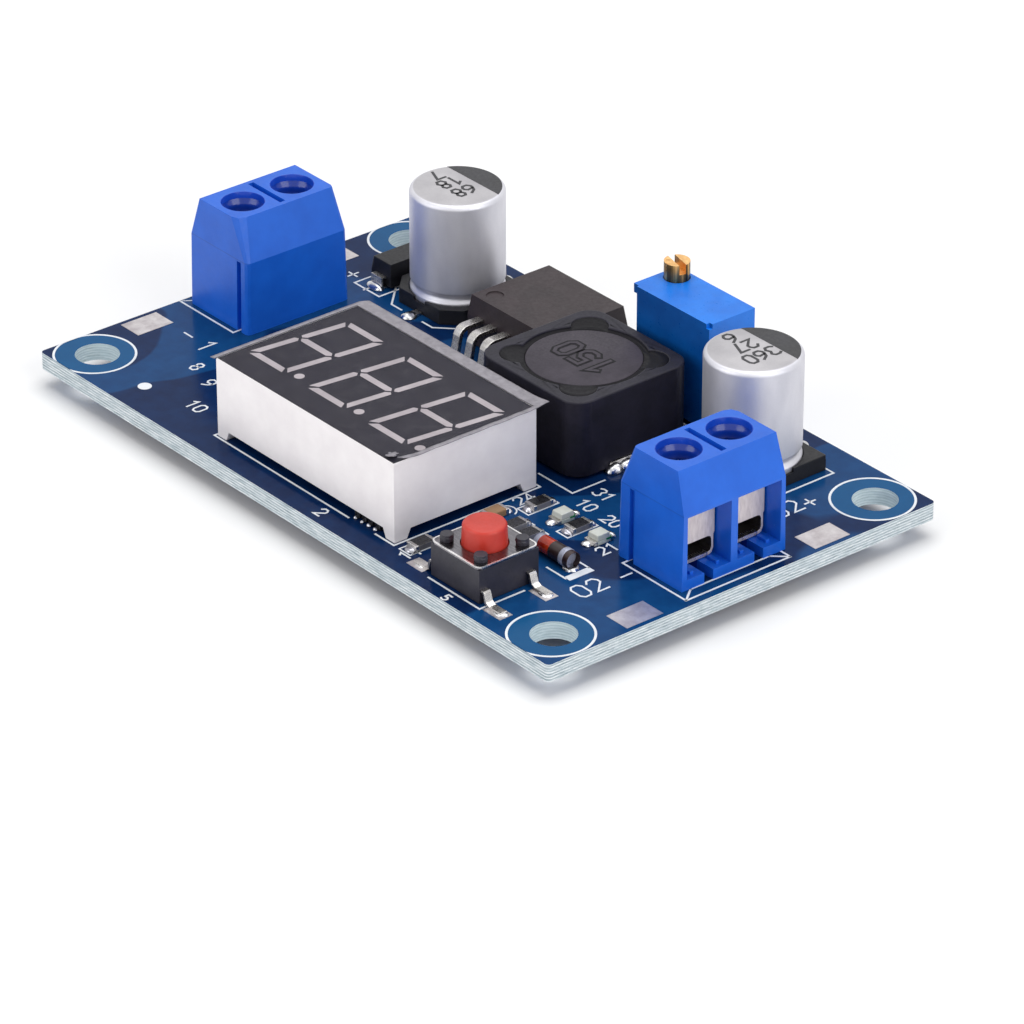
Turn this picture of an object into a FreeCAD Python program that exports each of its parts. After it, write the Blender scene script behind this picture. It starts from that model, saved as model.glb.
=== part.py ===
import FreeCAD, Part
import math
import os

os.makedirs("parts", exist_ok=True)

# Frame: X runs along the long side toward the output end, Y along the short side, Z up.
# The origin is the centre of the four mounting holes on the board's underside.
# All lengths are in millimetres.

# Circuit board
BOARD_LENGTH = 65.0
BOARD_WIDTH = 39.4
BOARD_THICK = 1.5
BOARD_CORNER_R = 0.4
HOLE_INSET = 3.35
HOLE_R = 1.85
TAIL_DROP = 1.5
LEAD_HOLE_GAP = 0.15
PIN_FACETS = 6
FINE_FACETS = 10
RING_FACETS = 20
CORNER_STEPS = 2
TOP = BOARD_THICK
EDGE_X = BOARD_LENGTH / 2
EDGE_Y = BOARD_WIDTH / 2

# Two-pole terminal block, in its own frame: X toward the wire opening, pole axes on x = 0
POLE_PITCH = 5.08
TERMINAL_WIDTH = 2 * POLE_PITCH + 0.14
TERMINAL_FRONT = 3.7
TERMINAL_REAR = -3.9
TERMINAL_DRAFT = 0.12
TERMINAL_HEIGHT = 10.0
SHOULDER_Z = 6.5
CROWN_FRONT = 2.7
CROWN_REAR = -2.5
CROWN_INSET_Y = 0.2
POLE_WALL = 0.68
WINDOW_WIDTH = POLE_PITCH - POLE_WALL
WINDOW_TOP = 6.3
FLOOR_THICK = 0.9
CHAMBER_REAR = -2.9
CHAMBER_REAR_HALF = 1.5
REAR_CORNER_R = 0.35
REAR_CROWN_CORNER_R = 0.9
SCREW_HOLE_R = 1.8
FLOOR_SLOT_WIDTH = 0.9
FLOOR_SLOT_REAR = 0.6
RIB_WIDTH = 0.35
RIB_HEIGHT = 0.25
RIB_REAR_GAP = 0.2
RIB_FRONT_GAP = 0.5
CROWN_SLOT_WIDTH = 0.55
CROWN_SLOT_DEPTH = 0.7
CROWN_SLOT_REAR = -2.05
CROWN_SLOT_FRONT = 2.3
GROOVES = {-1: (-2.6, -2.0), 1: (-3.05, -2.5)}
GROOVE_DEPTH = 0.35
GROOVE_TOP = 6.35

# Rising cage, clamp screw and contact of one pole
CAGE_TRAVEL = 0.8
CAGE_BOTTOM = 0.98
CAGE_FLOOR = 0.3
CAGE_MOUTH_HEIGHT = 1.4
CAGE_BLOCK = 3.5
CAGE_FRONT = 1.9
CAGE_REAR = -1.7
CAGE_SIDE_GAP = 0.12
CAGE_WIDTH = WINDOW_WIDTH - 2 * CAGE_SIDE_GAP
CAGE_WALL = 0.2
CAGE_STRAP_INSET = 0.1
CAGE_STRAP_CORNER = 0.55
CAGE_BLOCK_CORNER = 0.25
CAGE_GUIDE_GAP = 0.06
SCREW_SHANK_R = 1.2
SCREW_THREAD_GAP = 0.1
SCREW_HEAD_GAP = 0.07
SCREW_HEAD_HEIGHT = 1.0
SCREW_SLOT_WIDTH = 0.6
SCREW_SLOT_DEPTH = 0.45
SCREW_END_GAP = 0.03
BAR_THICK = 0.4
BAR_TOP_GAP = 0.07
BAR_WIDTH = 2.2
BAR_FRONT = 0.9
CONTACT_PLATE_REAR = -2.65
CONTACT_PLATE_THICK = 0.5
CONTACT_TAIL_R = 0.45

OUTPUT_TERMINAL_AT = (EDGE_X - 5.6, 0.38)
INPUT_TERMINAL_AT = (4.75 - EDGE_X, 0.3)

# Electrolytic can capacitors
CAN_R = 4.0
CAN_TOP = 10.45
CAN_SHOULDER_R = 0.45
CAN_NECK_Z = 1.9
CAN_NECK_DEPTH = 0.28
CAN_NECK_HALF = 0.45
CAN_FOOT_Z = 0.75
BASE_SIZE = 8.3
BASE_HEIGHT = 1.0
BASE_CORNER_CUT = 1.5
CAN_LEAD_WIDTH = 0.8
CAN_LEAD_THICK = 0.25
CAN_LEAD_REACH = 5.1
CAN_SHOULDER_STEPS = 2

# Shielded power inductor
INDUCTOR_SIZE_X = 12.4
INDUCTOR_SIZE_Y = 12.2
INDUCTOR_HEIGHT = 6.9
INDUCTOR_CORNER_R = 1.75
INDUCTOR_STANDOFF = 0.25
SHIELD_BORE_R = 5.2
DRUM_R = 4.72
DRUM_HUB_R = 2.4
DRUM_FLANGE = 1.3
DRUM_TOP_DROP = 0.12
GLUE_REACH = 7.35
GLUE_R = 1.5
GLUE_DEPTH = 0.7
WINDING_INSET = 0.3
INDUCTOR_CLIP_WIDTH = 5.0
INDUCTOR_CLIP_THICK = 0.25
INDUCTOR_CLIP_HEIGHT = 0.7
INDUCTOR_CLIP_FOOT = 2.2

# Five-lead switching regulator
REGULATOR_X = 10.0
REGULATOR_Y = 8.7
REGULATOR_TOP = 4.4
REGULATOR_DRAFT = 0.25
TAB_THICK = 1.25
TAB_REACH = 1.3
REGULATOR_LEAD_COUNT = 5
REGULATOR_LEAD_PITCH = 1.7
REGULATOR_LEAD_WIDTH = 0.85
REGULATOR_LEAD_THICK = 0.42
REGULATOR_LEAD_Z = 2.6
REGULATOR_LEAD_ROOT = 0.6
REGULATOR_LEAD_RUN = 1.55
REGULATOR_LEAD_FALL = 78.0
REGULATOR_LEAD_BEND_R = 0.75
REGULATOR_LEAD_FOOT_R = 0.45
REGULATOR_LEAD_FOOT = 1.1
BEND_STEPS = 4
DIMPLE_R = 0.75
DIMPLE_DEPTH = 0.12
DIMPLE_INSET = 1.6

# Surface-mount power diode at the input
DIODE_X = 2.6
DIODE_Y = 4.3
DIODE_TOP = 2.3
DIODE_LEAD_WIDTH = 1.4
DIODE_LEAD_THICK = 0.2
DIODE_LEAD_REACH = 0.5

# Multi-turn trimmer
TRIMMER_X = 9.4
TRIMMER_Y = 4.8
TRIMMER_TOP = 10.0
TRIMMER_SKIRT = 0.5
TRIMMER_WALL = 0.6
TRIMMER_SCREW_R = 1.07
TRIMMER_SCREW_RISE = 1.5
TRIMMER_SCREW_AT = (-3.3, 1.12)
TRIMMER_HEAD_DEPTH = 0.7
TRIMMER_SHAFT_R = 0.6
TRIMMER_SCREW_GAP = 0.04
TRIMMER_SLOT_WIDTH = 0.6
TRIMMER_SLOT_DEPTH = 0.8
TRIMMER_SLOT_TURN = -14.0
TRIMMER_SCREW_DEPTH = 2.4
TRIMMER_LIP_REACH = 0.6
TRIMMER_LIP_DROP = 0.8
TRIMMER_LIP_INSET = 0.2
TRIMMER_STEP = 0.35
TRIMMER_STEP_DROP = 0.4
TRIMMER_GAP_INSET = 1.2
TRIMMER_CAVITY = 1.6
TRIMMER_PIN_R = 0.25
TRIMMER_PIN_PITCH = 2.54
TRIMMER_PIN_COUNT = 3

# Three-digit display
DISPLAY_X = 22.6
DISPLAY_Y = 14.25
DISPLAY_TOP = 7.0
DISPLAY_WALL = 0.9
DISPLAY_CAVITY_TOP = 2.6
FACE_THICK = 0.3
FACE_RIM = 0.1
FOOT_HEIGHT = 0.8
FOOT_X = 1.1
FOOT_Y = 1.3
FOOT_SLANT = 0.35
DIGIT_COUNT = 3
DIGIT_PITCH = 7.6
DIGIT_WIDTH = 4.8
DIGIT_HEIGHT = 9.4
DIGITS_SHIFT = (-0.05, 0.12)
SEGMENT_WIDTH = 0.62
SEGMENT_GAP = 0.13
DIGIT_SLANT = 0.11
DOT_R = 0.43
SEGMENT_DEPTH = 0.15
DOT_OFFSET_X = 1.35
DOT_RISE = 0.35
FILM_THICK = 0.06
FILM_OVERHANG_BACK = 1.15
FILM_OVERHANG_LEFT = 0.35
FILM_OVERHANG_RIGHT = 0.15
FILM_TEAR_X = 2.4
FILM_TEAR_Y = 0.9
DISPLAY_PIN_SIZE = 0.45
DISPLAY_PIN_PITCH = 2.54
DISPLAY_PIN_COUNT = 6
DISPLAY_ROW_SPACING = 10.16
BACK_BOARD_THICK = 0.8

# Push button
BUTTON_SIZE = 5.95
BUTTON_BASE_TOP = 2.9
COVER_CORNER_R = 0.55
COVER_THICK = 0.25
STUD_OFFSET = 2.05
STUD_R = 0.38
STUD_HEAD_R = 0.53
STUD_HEAD_HEIGHT = 0.6
PLUNGER_R = 1.8
PLUNGER_TOP_R = 1.74
PLUNGER_STEM_R = 1.0
PLUNGER_TOP = 4.9
PLUNGER_GAP = 0.08
PLUNGER_FLANGE_R = 2.1
PLUNGER_FLANGE = 0.5
PLUNGER_EDGE_R = 0.28
BUTTON_WELL_R = 2.2
BUTTON_WELL_FLOOR = 0.9
DOME_RISE = 0.45
DOME_THICK = 0.08
DOME_R = 1.95
DOME_CROWN_R = 0.9
BUTTON_STROKE = 0.25
LEG_OFFSET = 2.25
LEG_WIDTH = 0.7
LEG_THICK = 0.2
LEG_SHIFT_Y = -0.2
LEG_REACH = 2.3
LEG_EXIT_Z = 1.2
LEG_DROP_OUT = 0.38
LEG_KNEE_OUT = 0.8
LEG_ROOT = 0.4

# Small parts
GLASS_DIODE_LENGTH = 3.6
GLASS_DIODE_R = 0.7
GLASS_CAP_LENGTH = 0.55
GLASS_CAP_R = 0.76
LED_LENGTH = 2.0
LED_WIDTH = 1.25
LED_BASE = 0.35
LED_TOP = 0.85
LED_LENS = 1.3
LED_DRAFT = 0.09
CHIP_LENGTH = 2.0
CHIP_WIDTH = 1.2
CHIP_TOP = 0.55
CHIP_CAPACITOR_TOP = 0.6
ARRAY_X = 3.2
ARRAY_Y = 1.3
ARRAY_TOP = 0.55
ARRAY_NOTCH = 0.15
CONTROLLER_X = 6.5
CONTROLLER_Y = 4.4
CONTROLLER_TOP = 1.1
CONTROLLER_LEADS = 8
CONTROLLER_PITCH = 0.65
CONTROLLER_LEAD_REACH = 1.0
CONTROLLER_LEAD_WIDTH = 0.24
CONTROLLER_LEAD_THICK = 0.15
LOGIC_REGULATOR_X = 4.5
LOGIC_REGULATOR_Y = 2.5
LOGIC_REGULATOR_TOP = 1.5
LOGIC_REGULATOR_PITCH = 1.5

# Layout: the pieces in a row keep their sizes, and their gaps share out the room that is left.
# A row has one gap more than pieces. Each gap is its size on the board as built.
BACK_ROW_GAPS = (10.25, 2.3, 5.4, 1.75, 9.3)
COLUMN_GAPS = (2.605, 2.495, 1.02, 2.03)
LIGHT_ROW_GAPS = (1.9, 1.575, 0.675, 1.225, 1.925)
CHIP_ROW_GAPS = (0.9, 1.3, 0.6, 0.8, 9.8)
BUTTON_ROW_GAPS = (1.0, 1.005, 7.945)
INPUT_CAPACITOR_INSET_Y = 7.1
OUTPUT_CAPACITOR_INSET_Y = 7.35
REGULATOR_INSET_Y = 6.95
DIODE_INSET_Y = 8.4
DIODE_TO_CAPACITOR = 5.95
INDUCTOR_TO_TRIMMER = 2.15
DISPLAY_MIDDLE_X = -0.5
BUTTON_INSET_Y = 4.7
LIGHT_ROW_Y = 5.42
LIGHT_ROW_CHIPS_Y = (5.32, 5.37)
CHIP_ROW_Y = (1.67, 1.62, 1.52)
GLASS_DIODE_Y = 0.97
BUTTON_ROW_CHIP_Y = -5.73
ARRAY_FROM_DISPLAY = (7.5, -6.13)
CONTROLLER_FROM_DISPLAY = (-3.1, -0.23)
LOGIC_REGULATOR_FROM_DISPLAY = (5.7, 0.37)


def spread(start, end, sizes, gaps):
    unit = (end - start - sum(sizes)) / sum(gaps)
    edge = start
    middles = []
    for gap, size in zip(gaps, sizes):
        middles.append(edge + gap * unit + size / 2)
        edge = middles[-1] + size / 2
    return middles


back_row_sizes = (BASE_SIZE, REGULATOR_X, TRIMMER_X, BASE_SIZE)
input_can_x, regulator_x, trimmer_x, output_can_x = spread(-EDGE_X, EDGE_X, back_row_sizes, BACK_ROW_GAPS)
column_sizes = (DISPLAY_Y, INDUCTOR_SIZE_Y, TRIMMER_Y)
display_y, inductor_y, trimmer_y = spread(-EDGE_Y, EDGE_Y, column_sizes, COLUMN_GAPS)
INPUT_CAPACITOR_AT = (input_can_x, EDGE_Y - INPUT_CAPACITOR_INSET_Y)
OUTPUT_CAPACITOR_AT = (output_can_x, EDGE_Y - OUTPUT_CAPACITOR_INSET_Y)
REGULATOR_AT = (regulator_x, EDGE_Y - REGULATOR_INSET_Y)
DIODE_AT = (input_can_x - DIODE_TO_CAPACITOR, EDGE_Y - DIODE_INSET_Y)
TRIMMER_AT = (trimmer_x, trimmer_y)
INDUCTOR_AT = (trimmer_x - INDUCTOR_TO_TRIMMER, inductor_y)
DISPLAY_AT = (DISPLAY_MIDDLE_X, display_y)

# Small parts beside the display, up to the output terminal or the board's end
display_end = DISPLAY_MIDDLE_X + DISPLAY_X / 2
terminal_rear = OUTPUT_TERMINAL_AT[0] + TERMINAL_REAR
light_sizes = (CHIP_WIDTH, LED_WIDTH, CHIP_WIDTH, LED_WIDTH)
light_row = spread(display_end, terminal_rear, light_sizes, LIGHT_ROW_GAPS)
chip_sizes = (CHIP_WIDTH, CHIP_WIDTH, CHIP_WIDTH, GLASS_DIODE_LENGTH + 2 * GLASS_CAP_LENGTH)
chip_row = spread(display_end, EDGE_X, chip_sizes, CHIP_ROW_GAPS)
button_sizes = (CHIP_WIDTH, BUTTON_SIZE + 2 * LEG_REACH)
button_row = spread(display_end, EDGE_X, button_sizes, BUTTON_ROW_GAPS)
INPUT_LED_AT = (light_row[1], display_y + LIGHT_ROW_Y)
OUTPUT_LED_AT = (light_row[3], display_y + LIGHT_ROW_Y)
CHIP_CAPACITOR_AT = (chip_row[0], display_y + CHIP_ROW_Y[0])
GLASS_DIODE_AT = (chip_row[3], display_y + GLASS_DIODE_Y)
BUTTON_AT = (button_row[1], BUTTON_INSET_Y - EDGE_Y)
CHIP_RESISTORS_AT = [
    (light_row[0], display_y + LIGHT_ROW_CHIPS_Y[0]), (light_row[2], display_y + LIGHT_ROW_CHIPS_Y[1]),
    (chip_row[1], display_y + CHIP_ROW_Y[1]), (chip_row[2], display_y + CHIP_ROW_Y[2]),
    (button_row[0], display_y + BUTTON_ROW_CHIP_Y),
]
ARRAY_AT = (DISPLAY_MIDDLE_X + ARRAY_FROM_DISPLAY[0], display_y + ARRAY_FROM_DISPLAY[1])
CONTROLLER_AT = (DISPLAY_MIDDLE_X + CONTROLLER_FROM_DISPLAY[0], display_y + CONTROLLER_FROM_DISPLAY[1])
LOGIC_REGULATOR_AT = (DISPLAY_MIDDLE_X + LOGIC_REGULATOR_FROM_DISPLAY[0],
                      display_y + LOGIC_REGULATOR_FROM_DISPLAY[1])

V = FreeCAD.Vector


# Shape helpers
def block(x0, x1, y0, y1, z0, z1):
    return Part.makeBox(x1 - x0, y1 - y0, z1 - z0, V(x0, y0, z0))


def centred(at, size_x, size_y, z0, z1):
    return block(at[0] - size_x / 2, at[0] + size_x / 2, at[1] - size_y / 2, at[1] + size_y / 2, z0, z1)


def post(x, y, z0, z1, radius):
    return Part.makeCylinder(radius, z1 - z0, V(x, y, z0))


def faceted_post(x, y, z0, z1, radius, facets=PIN_FACETS):
    corners = []
    for step in range(facets):
        angle = 2 * math.pi * (step + 0.5) / facets
        corners.append((x + radius * math.cos(angle), y + radius * math.sin(angle)))
    return prism(corners, z0, z1)


def joined(shapes):
    first = shapes[0]
    if len(shapes) == 1:
        return first
    return first.multiFuse(shapes[1:]).removeSplitter()


def prism(points, z0, z1):
    wire = Part.makePolygon([V(x, y, z0) for x, y in points] + [V(points[0][0], points[0][1], z0)])
    return Part.Face(wire).extrude(V(0, 0, z1 - z0))


def side_prism(points, y0, y1):
    wire = Part.makePolygon([V(x, y0, z) for x, z in points] + [V(points[0][0], y0, points[0][1])])
    return Part.Face(wire).extrude(V(0, y1 - y0, 0))


def end_prism(points, x0, x1):
    wire = Part.makePolygon([V(x0, y, z) for y, z in points] + [V(x0, points[0][0], points[0][1])])
    return Part.Face(wire).extrude(V(x1 - x0, 0, 0))


def turned(points, x, y):
    wire = Part.makePolygon([V(r, 0, z) for r, z in points] + [V(points[0][0], 0, points[0][1])])
    shape = Part.Face(wire).revolve(V(0, 0, 0), V(0, 0, 1), 360)
    shape.translate(V(x, y, 0))
    return shape


def tapered(lower, upper):
    def ring(rect):
        x0, x1, y0, y1, z = rect
        corners = [V(x0, y0, z), V(x1, y0, z), V(x1, y1, z), V(x0, y1, z)]
        return Part.makePolygon(corners + [corners[0]])
    return Part.makeLoft([ring(lower), ring(upper)], True, True)


def rear_rounded(x0, x1, half, z, left_corner):
    points = [V(x1, -half, z), V(x1, half, z)]
    for radius, side in ((left_corner, 1), (REAR_CORNER_R, -1)):
        centre_y = side * (half - radius)
        for step in range(CORNER_STEPS + 1):
            share = step if side > 0 else CORNER_STEPS - step
            turn = math.radians(90 * share / CORNER_STEPS)
            corner_x = x0 + radius - radius * math.sin(turn)
            points.append(V(corner_x, centre_y + side * radius * math.cos(turn), z))
    return Part.makePolygon(points + [points[0]])


def upright_edges(shape):
    found = []
    for edge in shape.Edges:
        first, last = edge.Vertexes[0].Point, edge.Vertexes[-1].Point
        if abs(first.x - last.x) < 1e-6 and abs(first.y - last.y) < 1e-6:
            found.append(edge)
    return found


def save(name, shape):
    if shape.ShapeType == "Compound" and len(shape.Solids) == 1:
        shape = shape.Solids[0]
    shape.exportStep("parts/" + name + ".step")


LEAD_HOLES = []


def lead_hole(x, y, radius):
    LEAD_HOLES.append((x, y, radius + LEAD_HOLE_GAP))


# Terminal blocks
POLES = (-POLE_PITCH / 2, POLE_PITCH / 2)
CAGE_TOP = CAGE_BOTTOM + CAGE_FLOOR + CAGE_MOUTH_HEIGHT + CAGE_BLOCK
SHAFT_TOP = CAGE_TOP + CAGE_TRAVEL + CAGE_GUIDE_GAP
MOUTH_TOP = CAGE_BOTTOM + CAGE_FLOOR + CAGE_MOUTH_HEIGHT
BAR_TOP = MOUTH_TOP - BAR_TOP_GAP
HEAD_BOTTOM = SHAFT_TOP + CAGE_GUIDE_GAP
TAIL_X = CONTACT_PLATE_REAR + CONTACT_PLATE_THICK / 2


def terminal_housing():
    half = TERMINAL_WIDTH / 2
    base_half = half + TERMINAL_DRAFT
    shoulder = rear_rounded(TERMINAL_REAR, TERMINAL_FRONT, half, SHOULDER_Z, REAR_CORNER_R)
    foot_rear = TERMINAL_REAR - TERMINAL_DRAFT / 2
    foot = rear_rounded(foot_rear, TERMINAL_FRONT, base_half, 0, REAR_CORNER_R)
    crown_half = half - CROWN_INSET_Y
    crown = rear_rounded(CROWN_REAR, CROWN_FRONT, crown_half, TERMINAL_HEIGHT, REAR_CROWN_CORNER_R)
    body = Part.makeLoft([foot, shoulder], True, True).fuse(Part.makeLoft([shoulder, crown], True, True))
    cuts = []
    ribs = []
    for pole in POLES:
        window_half = WINDOW_WIDTH / 2
        cage_half = CAGE_WIDTH / 2 + CAGE_GUIDE_GAP
        cuts.append(block(CAGE_REAR - CAGE_GUIDE_GAP, TERMINAL_FRONT + 1, pole - window_half,
                          pole + window_half, FLOOR_THICK, WINDOW_TOP))
        cuts.append(block(CHAMBER_REAR, CAGE_REAR, pole - CHAMBER_REAR_HALF, pole + CHAMBER_REAR_HALF,
                          FLOOR_THICK, WINDOW_TOP))
        cuts.append(block(CAGE_REAR - CAGE_GUIDE_GAP, CAGE_FRONT + CAGE_GUIDE_GAP, pole - cage_half,
                          pole + cage_half, WINDOW_TOP - 0.5, SHAFT_TOP))
        cuts.append(post(0, pole, SHAFT_TOP - 0.5, TERMINAL_HEIGHT + 1, SCREW_HOLE_R))
        cuts.append(block(FLOOR_SLOT_REAR, TERMINAL_FRONT + 1, pole - FLOOR_SLOT_WIDTH / 2,
                          pole + FLOOR_SLOT_WIDTH / 2, -1, FLOOR_THICK + 1))
        cuts.append(faceted_post(TAIL_X, pole, -1, FLOOR_THICK + 1, CONTACT_TAIL_R + 0.05))
        for side in (-1, 1):
            rib_y = pole + side * (WINDOW_WIDTH + FLOOR_SLOT_WIDTH) / 4
            ribs.append(block(CAGE_FRONT + RIB_REAR_GAP, TERMINAL_FRONT - RIB_FRONT_GAP,
                              rib_y - RIB_WIDTH / 2, rib_y + RIB_WIDTH / 2,
                              FLOOR_THICK / 2, FLOOR_THICK + RIB_HEIGHT))
    cuts.append(block(CROWN_SLOT_REAR, CROWN_SLOT_FRONT, -CROWN_SLOT_WIDTH / 2, CROWN_SLOT_WIDTH / 2,
                      TERMINAL_HEIGHT - CROWN_SLOT_DEPTH, TERMINAL_HEIGHT + 1))
    for side, (groove_rear, groove_front) in GROOVES.items():
        outer = side * (half + 1)
        inner = side * (half - GROOVE_DEPTH)
        cuts.append(block(groove_rear, groove_front, min(outer, inner), max(outer, inner), -1, GROOVE_TOP))
    body = body.cut(cuts)
    return body.fuse(ribs).removeSplitter()


def rounded_section(pole, half, z0, z1, low_corner, high_corner):
    points = []
    corners = [(1, -1, low_corner, -90), (1, 1, high_corner, 0)]
    corners += [(-1, 1, high_corner, 90), (-1, -1, low_corner, 180)]
    for side, upward, radius, start in corners:
        centre_y = pole + side * (half - radius)
        centre_z = z1 - radius if upward > 0 else z0 + radius
        for step in range(CORNER_STEPS + 1):
            angle = math.radians(start + 90 * step / CORNER_STEPS)
            points.append((centre_y + radius * math.cos(angle), centre_z + radius * math.sin(angle)))
    return points


def cage(pole):
    half = CAGE_WIDTH / 2
    strap_half = half - CAGE_STRAP_INSET
    strap_top = MOUTH_TOP + CAGE_BLOCK / 2
    block_line = rounded_section(pole, half, MOUTH_TOP, CAGE_TOP, CAGE_BLOCK_CORNER, CAGE_BLOCK_CORNER)
    strap_line = rounded_section(pole, strap_half, CAGE_BOTTOM, strap_top,
                                 CAGE_STRAP_CORNER, CAGE_BLOCK_CORNER)
    mouth_corner = CAGE_STRAP_CORNER - CAGE_WALL
    mouth_line = rounded_section(pole, strap_half - CAGE_WALL, CAGE_BOTTOM + CAGE_FLOOR, MOUTH_TOP,
                                 mouth_corner, mouth_corner)
    upper = end_prism(block_line, CAGE_REAR, CAGE_FRONT)
    strap = end_prism(strap_line, CAGE_REAR, CAGE_FRONT)
    mouth = end_prism(mouth_line, CAGE_REAR - 1, CAGE_FRONT + 1)
    thread_r = SCREW_SHANK_R + SCREW_THREAD_GAP
    thread = faceted_post(0, pole, MOUTH_TOP - 1, CAGE_TOP + 1, thread_r, FINE_FACETS)
    return upper.fuse(strap).cut([mouth, thread]).removeSplitter()


def clamp_screw(pole):
    head_r = SCREW_HOLE_R - SCREW_HEAD_GAP
    head = post(0, pole, HEAD_BOTTOM, HEAD_BOTTOM + SCREW_HEAD_HEIGHT, head_r)
    shank = faceted_post(0, pole, BAR_TOP + SCREW_END_GAP, HEAD_BOTTOM + 0.2, SCREW_SHANK_R, FINE_FACETS)
    slot = block(-head_r - 1, head_r + 1, pole - SCREW_SLOT_WIDTH / 2, pole + SCREW_SLOT_WIDTH / 2,
                 HEAD_BOTTOM + SCREW_HEAD_HEIGHT - SCREW_SLOT_DEPTH, HEAD_BOTTOM + SCREW_HEAD_HEIGHT + 1)
    return head.fuse(shank).cut(slot).removeSplitter()


def contact(pole):
    half = BAR_WIDTH / 2
    bar = block(CONTACT_PLATE_REAR, BAR_FRONT, pole - half, pole + half, BAR_TOP - BAR_THICK, BAR_TOP)
    plate = block(CONTACT_PLATE_REAR, CONTACT_PLATE_REAR + CONTACT_PLATE_THICK, pole - half, pole + half,
                  FLOOR_THICK + 0.05, BAR_TOP)
    tail = faceted_post(TAIL_X, pole, -BOARD_THICK - TAIL_DROP, FLOOR_THICK + 0.3, CONTACT_TAIL_R)
    return joined([bar, plate, tail])


def placed(shape, at, turn):
    shape = shape.copy()
    shape.rotate(V(0, 0, 0), V(0, 0, 1), turn)
    shape.translate(V(at[0], at[1], TOP))
    return shape


for end, at, turn in (("output", OUTPUT_TERMINAL_AT, 0), ("input", INPUT_TERMINAL_AT, 180)):
    save(end + "_terminal_housing", placed(terminal_housing(), at, turn))
    for pole in POLES:
        seen_y = pole if turn == 0 else -pole
        sign = "minus" if seen_y < 0 else "plus"
        save(end + "_" + sign + "_cage", placed(cage(pole), at, turn))
        save(end + "_" + sign + "_screw", placed(clamp_screw(pole), at, turn))
        save(end + "_" + sign + "_contact", placed(contact(pole), at, turn))
        facing = 1 if turn == 0 else -1
        lead_hole(at[0] + facing * TAIL_X, at[1] + seen_y, CONTACT_TAIL_R)


# Electrolytic capacitors
def can(at):
    z0 = TOP + CAN_FOOT_Z
    neck = TOP + CAN_NECK_Z
    top = TOP + CAN_TOP
    profile = [(0, z0), (CAN_R, z0), (CAN_R, neck - CAN_NECK_HALF)]
    profile.append((CAN_R - CAN_NECK_DEPTH, neck))
    profile.append((CAN_R, neck + CAN_NECK_HALF))
    for step in range(CAN_SHOULDER_STEPS + 1):
        angle = math.radians(90 * step / CAN_SHOULDER_STEPS)
        radius = CAN_R - CAN_SHOULDER_R + CAN_SHOULDER_R * math.cos(angle)
        profile.append((radius, top - CAN_SHOULDER_R + CAN_SHOULDER_R * math.sin(angle)))
    profile.append((0, top))
    return turned(profile, at[0], at[1])


def can_base(at):
    half = BASE_SIZE / 2
    cut = BASE_CORNER_CUT
    points = [(-half + cut, -half), (half - cut, -half), (half, -half + cut), (half, half)]
    points += [(-half, half), (-half, -half + cut)]
    base = prism([(at[0] + x, at[1] + y) for x, y in points], TOP + 0.05, TOP + BASE_HEIGHT)
    well = post(at[0], at[1], TOP + CAN_FOOT_Z - 0.02, TOP + BASE_HEIGHT + 1, CAN_R + 0.04)
    grooves = []
    for side in (-1, 1):
        outer = at[1] + side * (half + 1)
        inner = at[1] + side * 1.4
        grooves.append(block(at[0] - CAN_LEAD_WIDTH / 2 - 0.05, at[0] + CAN_LEAD_WIDTH / 2 + 0.05,
                             min(outer, inner), max(outer, inner), TOP - 1, TOP + 0.05 + CAN_LEAD_THICK))
    return base.cut([well] + grooves)


def can_leads(at):
    strips = []
    for side in (-1, 1):
        near = at[1] + side * 1.5
        far = at[1] + side * CAN_LEAD_REACH
        strips.append(block(at[0] - CAN_LEAD_WIDTH / 2, at[0] + CAN_LEAD_WIDTH / 2, min(near, far),
                            max(near, far), TOP, TOP + CAN_LEAD_THICK))
    return Part.makeCompound(strips)


for end, at in (("input", INPUT_CAPACITOR_AT), ("output", OUTPUT_CAPACITOR_AT)):
    save(end + "_capacitor_can", can(at))
    save(end + "_capacitor_base", can_base(at))
    save(end + "_capacitor_leads", can_leads(at))


# Power inductor
def rounded_block(at, size_x, size_y, z0, z1, radius):
    body = centred(at, size_x, size_y, z0, z1)
    return body.makeFillet(radius, upright_edges(body))


ind_x, ind_y = INDUCTOR_AT
IND_Z0 = TOP + INDUCTOR_STANDOFF
IND_Z1 = TOP + INDUCTOR_HEIGHT
glue_posts = []
for corner_x in (-1, 1):
    for corner_y in (-1, 1):
        reach = GLUE_REACH * math.sqrt(0.5)
        glue_posts.append((ind_x + corner_x * (reach - GLUE_R), ind_y + corner_y * (reach - GLUE_R)))

shield = rounded_block(INDUCTOR_AT, INDUCTOR_SIZE_X, INDUCTOR_SIZE_Y, IND_Z0, IND_Z1, INDUCTOR_CORNER_R)
bore = post(ind_x, ind_y, IND_Z0 - 1, IND_Z1 + 1, SHIELD_BORE_R)
pockets = [post(x, y, IND_Z1 - GLUE_DEPTH, IND_Z1 + 1, GLUE_R) for x, y in glue_posts]
clip_cuts = []
clip_half = INDUCTOR_CLIP_WIDTH / 2
for side in (-1, 1):
    face = ind_x + side * INDUCTOR_SIZE_X / 2
    inner = face - side * (INDUCTOR_CLIP_THICK + 0.02)
    outer = face + side
    clip_cuts.append(block(min(inner, outer), max(inner, outer), ind_y - clip_half - 0.05,
                           ind_y + clip_half + 0.05, IND_Z0 - 1, TOP + INDUCTOR_CLIP_HEIGHT + 0.05))
save("inductor_shield", shield.cut([bore] + pockets + clip_cuts))

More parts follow.
